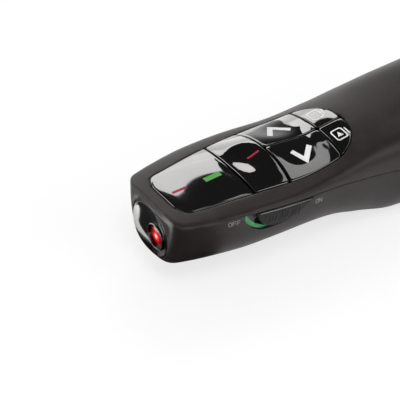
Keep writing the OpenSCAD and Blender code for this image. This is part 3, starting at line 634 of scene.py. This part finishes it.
def makeLowerShell():
    shell = halfBody("lowerShell", False)
    oval = [noseOval(a, 0.1) for a in turns(96)]
    floorWall = boxPiece("floorWall", *pocketForm["wall"])
    cutAway(floorWall, [wholeBody("inside", 0.5)], "INTERSECT")
    cutAway(shell, [wholeBody("hollow", bodyForm["wall"])])
    cutAway(shell, [floorWall], "UNION")
    cutAway(shell, [
        loftPiece("ovalCutter", [[(x, y, z) for y, z in oval] for x in (-2, noseForm["back"] + 0.1)]),
        pocketCutter(), doorCutter(), boxPiece("bayCutter", *bayForm["opening"])]
        + [loftPiece("bore", [flatRing(x, y, z, screws["bore"]) for z in (-3, 6)]) for x, y in screws["places"]]
        + [boxPiece("leverSlot", *pocketForm["leverSlot"])])
    tidyMesh(shell, 40, bodyForm["merge"])
    softenEdges(shell, bodyForm["bevel"])
    inner = [boxPiece("bayWall", low, high) for low, high in bayForm["walls"]]
    for wall in inner:
        cutAway(wall, [wholeBody("inside", 1.2)], "INTERSECT")
    inner += [tubePiece("boss", x, y, shellUnder(x, y) + 1.6, screws["bossTop"], screws["boss"], screws["bore"])
              for x, y in screws["places"]]
    joinInto(shell, inner)
    dress(shell, finishes["softBlack"])
    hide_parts("lower_shell")
    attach(shell, "casing")
    print("lower shell made")


def beamRing(r, depth, count=120):
    return [(depth, r * cos(a), noseForm["beam"] + r * sin(a)) for a in turns(count)]


def makeNoseWindow():
    f = noseForm

    def oval(grow, depth):
        return [(depth, *noseOval(a, grow)) for a in turns(120)]

    def blended(t, depth):
        # part of the way from the oval rim to the round hole
        rim, hole = oval(-0.3, depth), beamRing(f["aperture"] + 0.35, depth)
        return [(depth, a[1] * (1 - t) + b[1] * t, a[2] * (1 - t) + b[2] * t) for a, b in zip(rim, hole)]

    rings = [oval(0, 0.30), oval(-0.06, 0.14), oval(-0.16, 0.05)]
    rings += [blended(t / 18, 0.03 + f["deep"] * (t / 18) ** 0.8) for t in range(19)]
    rings += [beamRing(f["aperture"] + 0.2, f["deep"] + 0.05), beamRing(f["aperture"] + 0.08, f["deep"] + 0.11),
              beamRing(f["aperture"] + 0.06, f["back"]), oval(0, f["back"])]
    window = loftPiece("noseWindow", rings, closedRings=True, sharp=40)
    dress(window, finishes["noseGloss"])
    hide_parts("nose_window")
    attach(window, "casing")
    print("nose window made")


ringForm = {"outer": 3.34, "inner": 2.95, "front": 0.8, "back": 2.15, "round": 0.12}


def makeApertureRing():
    f = ringForm
    # out from each edge and back from the front
    corner = [(0, f["round"]), (f["round"] * 0.3, f["round"] * 0.3), (f["round"], 0)]
    profile = ([(f["outer"], f["back"])] + [(f["outer"] - r, f["front"] + d) for r, d in corner]
               + [(f["inner"] + r, f["front"] + d) for r, d in reversed(corner)] + [(f["inner"], f["back"])])
    ring = loftPiece("apertureRing", [beamRing(r, depth) for r, depth in profile], closedRings=True, sharp=50)
    dress(ring, finishes["darkChrome"])
    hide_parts("aperture_ring")
    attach(ring, "casing")
    print("aperture ring made")


lensFront = {
    "radius": 2.9, "x": 1.55, "glow": 1.3,
    "dome": ((2.9, 0.3), (2.9, 0), (2.2, -0.12), (1.4, -0.22), (0.7, -0.28), (0.3, -0.3)),
    "light": [(0.0, (1.0, 0.80, 0.72)), (0.12, (1.0, 0.40, 0.32)), (0.26, (0.75, 0.02, 0.02)),
              (0.52, (0.20, 0.002, 0.006)), (0.85, (0.008, 0.0, 0.0))],  # from the middle to the edge
}


def makeLensFront():
    # the lit front of the laser's lens
    f = lensFront
    spot = loftPiece("laserSpot", [beamRing(r, f["x"] + d, 48) for r, d in f["dome"]], sharp=60)
    material, nodes = newMaterial("laserHot")
    share = 1 / (f["radius"] * mm)
    flat = newNode(nodes, "Mapping", {"Vector": objectPlace(nodes), "Scale": (0, share, share),
                                      "Location": (0, 0, -noseForm["beam"] * mm * share)})
    reach = newNode(nodes, "VectorMath", {0: flat.outputs["Vector"]}, operation="LENGTH")
    setInputs(nodes["Principled BSDF"], {
        "Base Color": (0.05, 0.002, 0.002, 1), "Roughness": 0.12, "Specular IOR Level": 0.25,
        "Emission Strength": f["glow"], "Emission Color": ramp(nodes, reach.outputs["Value"], f["light"])})
    dress(spot, material)
    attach(spot, "casing")
    print("lens front made")


def jointShift(x, y):
    f = keyForm
    share = (min(1, max(0, (x - f["windowEnd"]) / (f["laserEnd"] - f["windowEnd"])))
             * min(1, max(0, (f["rear"] - x) / (f["rear"] - f["arrowsEnd"]))))
    return f["jointBow"] * share * max(0, 1 - (y / keyHalf(x)) ** 2)


def keyOutline(start, end, side, inset):
    # seen from above; side 0 is a whole-width key, 1 the far half, -1 the near half
    x0, x1 = start + inset, end - inset
    count = 40
    places = [x0 + (x1 - x0) * (0.5 - 0.5 * cos(pi * i / count)) for i in range(count + 1)]
    rounding = [edgeDraw(x - x0, keyForm["corner"]) + edgeDraw(x1 - x, keyForm["corner"]) for x in places]
    outer = [keyHalf(x) - inset - r for x, r in zip(places, rounding)]
    inner = [-o if side == 0 else keyForm["gap"] / 2 + inset + r for o, r in zip(outer, rounding)]
    across = [0.96, 0.88, 0.7, 0.5, 0.25, 0, -0.25, -0.5, -0.7, -0.88, -0.96]

    def between(i, u):
        return (outer[i] + inner[i]) / 2 + u * (outer[i] - inner[i]) / 2

    outline = list(zip(places, outer)) + [(x1, between(-1, u)) for u in across]
    outline += list(zip(places, inner))[::-1] + [(x0, between(0, -u)) for u in across]
    return [(x + jointShift(x, y), (-1 if side < 0 else 1) * y) for x, y in outline]


keys = {  # start, end, side, CAD node, body
    "statusWindow": ("front", "windowEnd", 0, "status_window", "casing"),
    "laserButton": ("windowEnd", "laserEnd", 0, "laser_button", "laser_key"),
    "nextButton": ("laserEnd", "arrowsEnd", 1, "next_button", "next_key"),
    "previousButton": ("laserEnd", "arrowsEnd", -1, "previous_button", "previous_key"),
    "blankScreenButton": ("arrowsEnd", "rear", 1, "blank_screen_button", "blank_screen_key"),
    "slideshowButton": ("arrowsEnd", "rear", -1, "slideshow_button", "slideshow_key"),
}


def makeKey(name, start, end, side, node, body):
    f = keyForm
    first = f[start] + (f["gap"] / 2 if start != "front" else 0)
    last = f[end] - (f["gap"] / 2 if end != "rear" else f["rearTrim"])
    middle = ((first + last) / 2, side * keyHalf((first + last) / 2) / 2)
    edge = f["edge"]

    def ring(inset, drop, share=1.0):
        points = []
        for x, y in keyOutline(first, last, side, inset):
            x, y = middle[0] + (x - middle[0]) * share, middle[1] + (y - middle[1]) * share
            points.append((x, y, keyTop(x, y) - drop))
        return points

    rings = [ring(edge * 3, f["depth"]), ring(0.02, f["depth"]), ring(0, f["depth"] * 0.5)]
    rings += [ring(edge * (1 - sin(a)), edge * (1 - cos(a))) for a in [pi / 2 * (1 - k / 5) for k in range(6)]]
    rings += [ring(edge, 0, 1 - k / 28) for k in range(1, 28)]
    key = loftPiece(name, rings, sharp=60)
    dress(key, finishes["glossBlack"])
    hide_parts(node)
    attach(key, body)


def onKeys(x, y):
    return (x, y, keyTop(x, y))


def onNearSide(x, z):
    return (x, -sideOut(x, z), z)


def liftedPoint(surface, u, v, lift):
    e = 0.05
    p = Vector(surface(u, v))
    du = Vector(surface(u + e, v)) - Vector(surface(u - e, v))
    dv = Vector(surface(u, v + e)) - Vector(surface(u, v - e))
    n = du.cross(dv).normalized()
    if surface is onNearSide and n.y > 0 or surface is onKeys and n.z < 0:
        n.negate()
    return tuple(p + n * lift)


inkForm = {"lift": 0.05, "sunk": 0.06, "line": 0.32}


def inkStroke(name, path, width, surface, lift=inkForm["lift"], closed=False, step=0.35, taper=None):
    # thin raised ink along a path on the surface, with mitred corners
    dense = []
    count = len(path) if closed else len(path) - 1
    for i in range(count):
        a, b = path[i], path[(i + 1) % len(path)]
        length = dist(a, b)
        parts = max(1, int(length / step))
        dense += [(a[0] + (b[0] - a[0]) * k / parts, a[1] + (b[1] - a[1]) * k / parts) for k in range(parts)]
    if not closed:
        dense.append(path[-1])
    n = len(dense)
    rings = []
    for i, p in enumerate(dense):
        before = dense[(i - 1) % n] if closed or i else p
        after = dense[(i + 1) % n] if closed or i < n - 1 else p
        d1 = Vector((p[0] - before[0], p[1] - before[1]))
        d2 = Vector((after[0] - p[0], after[1] - p[1]))
        d1 = d1.normalized() if d1.length > 1e-9 else d2.normalized()
        d2 = d2.normalized() if d2.length > 1e-9 else d1
        along = (d1 + d2).normalized()
        side = Vector((-along.y, along.x))
        grow = 1 / max(0.4, side.dot(Vector((-d1.y, d1.x))))
        half = width / 2 * grow
        if taper:
            half *= taper(i / (n - 1))
        across = [(s, lift) for s in (-1, -0.5, 0, 0.5, 1)] + [(s, -inkForm["sunk"]) for s in (1, 0, -1)]
        rings.append([liftedPoint(surface, p[0] + side.x * half * s, p[1] + side.y * half * s, out)
                      for s, out in across])
    return loftPiece(name, rings, closedRings=closed, sharp=50)


def roundedFrame(cx, cy, length, width, r):
    points = []
    for qx, qy, start in ((1, 1, 0), (-1, 1, 90), (-1, -1, 180), (1, -1, 270)):
        for a in range(0, 91, 15):
            t = radians(start + a)
            x = qx * (length / 2 - r) + r * cos(t)
            y = qy * (width / 2 - r) + r * sin(t)
            points.append((cx + x, cy + y))
    return points


marks = {
    "nextSign": {"vertex": (37.7, 7.2), "legs": ((35.0, 3.4), (41.2, 3.7)), "width": 1.3},
    "previousSign": {"vertex": (37.4, -7.6), "legs": ((35.7, -4.1), (41.0, -3.9)), "width": 1.3},
    "frontDash": {"path": ((5.6, 0.0), (9.2, 0.0)), "width": 0.7},
    "laserDash": {"path": ((26.2, 0.0), (29.3, 0.0)), "width": 0.55},
    "statusLight": {"low": (14.0, -1.2), "high": (18.3, 0.3)},
    "blankScreenSign": {"centre": (49.0, 4.5), "size": (2.9, 3.4), "bar": 2.3, "barGap": 0.75},
    "slideshowSign": {"centre": (49.1, -4.8), "size": (2.9, 3.4), "bar": 2.3, "barGap": 0.75, "play": 0.75},
}


def finishMark(piece, finishName, body):
    dress(piece, finishes[finishName])
    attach(piece, body)


def makeMarks():
    for name, body in (("nextSign", "next_key"), ("previousSign", "previous_key")):
        m = marks[name]
        sign = inkStroke(name, [m["legs"][0], m["vertex"], m["legs"][1]], m["width"], onKeys)
        finishMark(sign, "whitePrint", body)
    # printed red dashes, with a painted glow
    for name, body in (("frontDash", "casing"), ("laserDash", "laser_key")):
        dash = inkStroke(name, list(marks[name]["path"]), marks[name]["width"], onKeys)
        finishMark(dash, "redPrintPaintedGlow", body)
    (x0, y0), (x1, y1) = marks["statusLight"]["low"], marks["statusLight"]["high"]
    light = inkStroke("statusLight", [(x0, (y0 + y1) / 2), (x1, (y0 + y1) / 2)], y1 - y0, onKeys)
    finishMark(light, "greenLight", "casing")
    for name, body in (("blankScreenSign", "blank_screen_key"), ("slideshowSign", "slideshow_key")):
        m = marks[name]
        (cx, cy), (length, width) = m["centre"], m["size"]
        screen = roundedFrame(cx, cy, length, width, 0.6)
        sign = inkStroke(name, screen, inkForm["line"], onKeys, closed=True, step=0.5)
        barX = cx + length / 2 + m["barGap"]
        bar = [(barX, cy - m["bar"] / 2), (barX, cy + m["bar"] / 2)]
        joinInto(sign, [inkStroke("bar", bar, inkForm["line"], onKeys)])
        if "play" in m:
            joinInto(sign, [inkStroke("play", [(cx, cy - m["play"]), (cx, cy + m["play"])], 2 * m["play"], onKeys,
                                      step=0.12, taper=lambda t: 1.02 - t)])
        finishMark(sign, "whitePrint", body)
    print("key marks made")


letterShapes = {  # strokes on a cell 1 wide and 1.5 high
    "O": [([(0.5 + 0.5 * cos(radians(a)), 0.75 + 0.75 * sin(radians(a))) for a in range(0, 360, 24)], True)],
    "N": [([(0, 0), (0, 1.5), (1, 0), (1, 1.5)], False)],
    "F": [([(0, 0), (0, 1.5), (0.95, 1.5)], False), ([(0, 0.8), (0.8, 0.8)], False)],
}
switchWords = {
    "offWord": {"text": "OFF", "start": (11.6, 18.7), "size": 0.78, "lean": -0.03},
    "onWord": {"text": "ON", "start": (34.9, 16.9), "size": 0.78, "lean": -0.08},
}
letterPitch, letterLine = 1.32, 0.17


def makeSwitchWords():
    for name, word in switchWords.items():
        parts = []
        x0, z0 = word["start"]
        for i, letter in enumerate(word["text"]):
            for path, closed in letterShapes[letter]:
                line = []
                for u, v in path:
                    x = x0 + (i * letterPitch + u) * word["size"]
                    line.append((x, z0 + v * word["size"] + word["lean"] * (x - x0)))
                parts.append(inkStroke("stroke", line, letterLine, onNearSide, 0.02, closed, 0.2))
        joinInto(parts[0], parts[1:])
        parts[0].name = name
        finishMark(parts[0], "greyPrint", "casing")
    print("switch words made")


sliderForm = {
    "length": 15.4, "depth": 4.5, "back": 14.15, "proud": 0.1, "under": 0.35, "endGap": 0.3,
    "ribs": {"groups": (21.8, 25.0, 28.2), "each": 3, "step": 0.75, "width": 0.34, "low": 16.2, "height": 2.5,
             "lean": 0.5, "lift": 0.18},
    "stem": ((22.2, -14.2, 16.9), (26.2, -12.75, 17.9)),  # reaches through the slot to the switch
    "edge": {"share": 0.9, "inward": 0.14, "down": 0.1, "radius": 0.2},  # the polished upper edge
}


def sliderPlace(t):
    f = sliderForm
    middle = pocketForm["start"] + pocketForm["length"] - f["length"] / 2 - f["endGap"]
    x = middle + t * f["length"] / 2
    high = partingAt(x) - f["under"]
    return x, high, high - pocketDrop(t, f["depth"]) - 0.03


def makeSliderRib(x0):
    f = sliderForm["ribs"]
    rows = []
    for j in range(13):
        x, z = x0 + f["lean"] * j / 12, f["low"] + f["height"] * j / 12
        lift = f["lift"] * sin(pi * (j + 0.5) / 13) ** 0.5
        y = -sideOut(x, z) - sliderForm["proud"]
        rows.append([(x + dx, y + dy, z) for dx, dy in (
            (0, 0.15), (0, -lift * 0.6), (0.07, -lift), (f["width"] - 0.07, -lift), (f["width"], -lift * 0.6),
            (f["width"], 0.15))])
    return loftPiece("rib", rows, sharp=50)


def makeSlider():
    f = sliderForm
    rings = []
    steps, rows = 46, 18
    for i in range(-steps, steps + 1):
        x, high, low = sliderPlace(sin(pi / 2 * i / steps) * 0.998)
        ring = [(x, -f["back"], low), (x, -f["back"], high)]
        for k in range(rows + 1):
            z = high + (low - high) * k / rows
            near = min(high - z, z - low)
            ring.append((x, -sideOut(x, z) - f["proud"] + edgeDraw(near, 0.22), z))
        rings.append(ring)
    plate = loftPiece("sliderButton", rings, sharp=45)
    joinInto(plate, [makeSliderRib(group + k * f["ribs"]["step"])
                     for group in f["ribs"]["groups"] for k in range(f["ribs"]["each"])])
    joinInto(plate, [boxPiece("stem", *f["stem"])])
    dress(plate, finishes["satinBlack"])
    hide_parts("power_slider")
    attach(plate, "slider")

    e = f["edge"]
    rings = []
    for i in range(-steps, steps + 1):
        x, high, low = sliderPlace(e["share"] * i / steps)
        y = -sideOut(x, high) - f["proud"] + e["inward"]
        rings.append([(x, y + e["radius"] * cos(a), high - e["down"] + e["radius"] * sin(a)) for a in turns(12)])
    edge = loftPiece("sliderEdge", rings, sharp=60)
    dress(edge, finishes["glossBlack"])
    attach(edge, "slider")
    print("slider made")


onMarkForm = {"start": 15.8, "end": 22.5, "width": 2.1, "taper": 0.8, "clear": 0.15, "under": 0.4,
              "back": 13.7, "front": 14.08, "slot": 18.75, "slotUnder": 16.7, "corner": (0.06, 0.02)}


def makeOnMark():
    # green crescent on the pocket's floor, uncovered while the slider is at ON; its faint glow is painted light
    f = onMarkForm
    rings = []
    inward, down = f["corner"]
    for i in range(41):
        share = i / 40
        x = f["start"] + (f["end"] - f["start"]) * share
        t = 2 * (x - pocketForm["start"]) / pocketForm["length"] - 1
        low = partingAt(x) - pocketDrop(t, pocketForm["depth"]) + f["clear"]
        high = min(low + f["width"] * (1 - share) ** f["taper"], partingAt(x) - f["under"])
        if x > f["slot"]:  # stays under the slot that the slider's stem runs in
            high = min(high, f["slotUnder"])
        high = max(low + 0.05, high)
        rings.append([(x, -f["back"], low), (x, -f["back"], high), (x, -f["front"] + inward, high),
                      (x, -f["front"], high - down), (x, -f["front"], low + down), (x, -f["front"] + inward, low)])
    mark = loftPiece("onMark", rings, sharp=45)
    dress(mark, finishes["greenPrintPaintedGlow"])
    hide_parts("on_indicator")
    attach(mark, "casing")
    print("green mark made")


def tailReach(y, z):
    s = sectionAt(bodyForm["tailStart"])
    n = s["roundUp"]
    share = min(1, ((abs(y) / s["half"]) ** n + (max(0, z - s["middle"]) / s["up"]) ** n) ** (1 / n))
    start = bodyForm["tailStart"]
    return start + (bodyLength - start) / bodyForm["tailTrim"] * bulge(share, bodyForm["tailPower"])


def makeReceiver():
    f = receiverForm
    rings = [[(f["start"] + back, y, z) for y, z in receiverRing(grow)] for grow, back in ((-0.3, 0), (0, 0.3))]
    rings += [[(tailReach(y, z) - back, y, z) for y, z in receiverRing(grow)] for grow, back in f["edge"]]
    rings += [[(tailReach(y, z), y, z) for y, z in receiverRing(f["edge"][-1][0], share)] for share in f["face"]]
    case = loftPiece("receiverCase", rings, sharp=45)
    dress(case, finishes["softBlack"])
    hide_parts("receiver_case")
    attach(case, "receiver")
    print("receiver made")


nodesByFinish = {  # CAD pieces that keep their own meshes
    "turnedBrass": ("laser_barrel", "laser_diode"),
    "laserRed": ("laser_lens",),
    "tinnedSheet": (
        "laser_leads", "tact_switch_cases", "slide_switch_case",
        "crystal", "battery_contacts", "receiver_plug_shell"),
    "solderMask": ("laser_driver_board", "main_board"),
    "greenGuide": ("light_guide", "status_led"),
    "satinBlack": (
        "laser_plunger", "next_plunger", "previous_plunger",
        "blank_screen_plunger", "slideshow_plunger", "slide_switch_lever"),
    "chipResin": ("controller_chip", "radio_chip"),
    "fibreCeramic": ("board_capacitors",),
    "zincScrew": ("board_screws", "case_screws"),
    "springWire": ("battery_springs",),
    "cellJacket": ("aaa_cell_far", "aaa_cell_near"),
    "cavityBlack": ("receiver_cradle",),
    "plugWhite": ("receiver_tongue",),
    "goldPlate": ("receiver_contacts",),
}


def dressNodes():
    for finishName, nodes in nodesByFinish.items():
        for node in nodes:
            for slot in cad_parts[node].material_slots:
                slot.material = finishes[finishName]
    print("CAD nodes dressed:", sum(len(nodes) for nodes in nodesByFinish.values()))


stage = {
    "floorSize": 6.0, "floorColour": (0.92, 0.92, 0.92), "ambient": 0.55,
    # the paper turns plain white away from the object
    "paperWhite": {"From Min": 0.25, "From Max": 0.8, "To Min": 0.72, "To Max": 1.0},
    "walls": 0.7, "ceiling": 0.025, "wallTop": 0.5,  # what gloss sees round the set, from the horizon up
    "keyLight": {"place": (-0.25, -0.55, 0.95), "size": 0.5, "power": 5.0},
    "fillLight": {"place": (0.55, 0.65, 0.85), "size": 0.7, "power": 4.0},
    "sideLight": {"place": (0.35, -0.8, 0.6), "size": 0.5, "power": 2.4},
    "lightsAim": (30, 0, 15), "cardsMiddle": (35, 0, 20), "cardsReach": 5,
}
cards = {  # reflector cards, by their corners in degrees round from +X and up from the floor
    "backCard": {"glow": 2.5, "corners": (
        (60, 26), (140, 26), (140, 36), (100, 36), (68, 36.5), (66, 40), (55, 40), (50, 38), (50, 32.5),
        (59.6, 32.5))},
    "lowCard": {"glow": 1.5, "corners": ((61.3, -3), (100, -3), (140, -3), (140, 26), (60, 26), (61.2, 20))},
    "tailCard": {"glow": 0.9, "corners": (
        (-20, 50), (30, 50), (44, 50), (46, 51.5), (50, 50.3), (54.5, 51), (50, 55.5), (46, 58), (38, 60),
        (-20, 61))},
    "sideCard": {"glow": 1.6, "corners": ((-80, 22), (-46, 22), (-46, 44), (-80, 44))},
    # these two lie on the paper before the nose, by their corners in mm
    "noseFlag": {"glow": 0.0, "lies": 0.2, "corners": ((-80, -70), (14, -70), (14, 24), (-80, 36))},
    "noseGlint": {"glow": 5.5, "lies": 0.4, "corners": (
        (-14.6, 12.6), (-13.1, 14.6), (-11.3, 16.1), (-9.3, 17.8), (-8.7, 19.2), (-12, 20.5), (-24, 17.5),
        (-40, 17), (-50, 12), (-36, 7), (-22, 8.5), (-17, 10.5))},
}


def makeCards():
    middle, reach = Vector(toRow(stage["cardsMiddle"])), stage["cardsReach"]
    for name, card in cards.items():
        if "lies" in card:
            corners = [toRow((x, y, card["lies"])) for x, y in card["corners"]]
        else:
            angles = [(radians(a), radians(b)) for a, b in card["corners"]]
            corners = [middle + reach * Vector((cos(t) * cos(r), sin(t) * cos(r), sin(r))) for t, r in angles]
        sheet = meshObject(name, corners, [tuple(range(len(corners)))])
        material, nodes = newMaterial(name)
        tone = 0.9 if card["glow"] else 0.02
        setInputs(nodes["Principled BSDF"], {"Base Color": (tone, tone, tone, 1), "Emission Strength": card["glow"],
                                             "Emission Color": (1, 0.985, 0.97, 1)})
        dress(sheet, material)
        sheet.visible_camera = sheet.visible_diffuse = sheet.visible_shadow = False


def makeFloor():
    half = stage["floorSize"] / 2
    corners = [(-half, -half, 0), (half, -half, 0), (half, half, 0), (-half, half, 0)]
    floor = meshObject("floor", corners, [(0, 1, 2, 3)])
    material, nodes = newMaterial("floorPaper")
    paper = nodes["Principled BSDF"]
    setInputs(paper, {"Base Color": (*stage["floorColour"], 1), "Roughness": 0.9, "Specular IOR Level": 0.1})
    white = newNode(nodes, "Emission", {"Color": (1, 1, 1, 1)})
    reach = newNode(nodes, "VectorMath", {0: objectPlace(nodes)}, operation="LENGTH")
    whiter = newNode(nodes, "MapRange", {"Value": reach.outputs["Value"], **stage["paperWhite"]})
    seen = newNode(nodes, "LightPath").outputs["Is Camera Ray"]
    share = newNode(nodes, "Math", {0: seen, 1: whiter.outputs["Result"]}, operation="MULTIPLY")
    mix = newNode(nodes, "MixShader", {"Fac": share.outputs["Value"], 1: paper.outputs["BSDF"],
                                       2: white.outputs["Emission"]})
    setInputs(nodes["Material Output"], {"Surface": mix.outputs["Shader"]})
    dress(floor, material)


def makeWorld():
    world = bpy.data.worlds.new("studio")
    bpy.context.scene.world = world
    world.use_nodes = True
    nodes = world.node_tree.nodes
    around = newNode(nodes, "TexCoord").outputs["Generated"]
    up = newNode(nodes, "SeparateXYZ", {"Vector": around}).outputs["Z"]
    walls = newNode(nodes, "MapRange", {"Value": up, "From Max": stage["wallTop"], "To Min": stage["walls"],
                                        "To Max": stage["ceiling"]}, interpolation_type="SMOOTHSTEP")
    path = newNode(nodes, "LightPath")
    # a value mix has its share on socket 0 and its values on 2 and 3
    byGloss = newNode(nodes, "Mix", {0: path.outputs["Is Glossy Ray"], 2: stage["ambient"],
                                     3: walls.outputs["Result"]})
    byCamera = newNode(nodes, "Mix", {0: path.outputs["Is Camera Ray"], 2: byGloss.outputs[0], 3: 1.0})
    setInputs(nodes["Background"], {"Color": (1, 1, 1, 1), "Strength": byCamera.outputs[0]})


def makeLights():
    target = Vector(toRow(stage["lightsAim"]))
    for name in ("keyLight", "fillLight", "sideLight"):
        s = stage[name]
        light = bpy.data.lights.new(name, "AREA")
        light.shape, light.size, light.energy = "DISK", s["size"], s["power"]
        lamp = addObject(name, light)
        lamp.location = s["place"]
        lamp.rotation_euler = (Vector(s["place"]) - target).to_track_quat("Z", "Y").to_euler()
        lamp.visible_glossy = False


cameraPlace = {"turn": 34.387, "height": 36.894, "roll": 1.234, "distance": 353.556,
               "target": (13.184, 0, 16.913), "focal": 1541.0, "frame": 400}


def makeCamera():
    c = cameraPlace
    a, e, t = (radians(c[k]) for k in ("turn", "height", "roll"))
    right = Vector((cos(a), -sin(a), 0))
    up = Vector((sin(a) * sin(e), cos(a) * sin(e), cos(e)))
    back = Vector((-sin(a) * cos(e), -cos(a) * cos(e), sin(e)))
    rolledRight = right * cos(t) + up * sin(t)
    rolledUp = up * cos(t) - right * sin(t)
    data = bpy.data.cameras.new("camera")
    data.sensor_width, data.lens = 36, 36 * c["focal"] / c["frame"]
    data.clip_start, data.clip_end = 0.01, 20
    camera = addObject("camera", data)
    axes = Matrix((rolledRight, rolledUp, back)).transposed()
    camera.matrix_world = Matrix.Translation(Vector(toRow(c["target"])) + back * c["distance"] * mm) @ axes.to_4x4()
    bpy.context.scene.camera = camera


makeCamera()
makeUpperShell()
makeLowerShell()
makeDoor()
makeNoseWindow()
makeApertureRing()
makeLensFront()
for keyName, values in keys.items():
    makeKey(keyName, *values)
print("keys made")
makeMarks()
makeSwitchWords()
makeSlider()
makeOnMark()
makeReceiver()
dressNodes()
makeFloor()
makeWorld()
makeLights()
makeCards()
bpy.context.scene.view_settings.view_transform = "Standard"
print("stage, light and camera made")
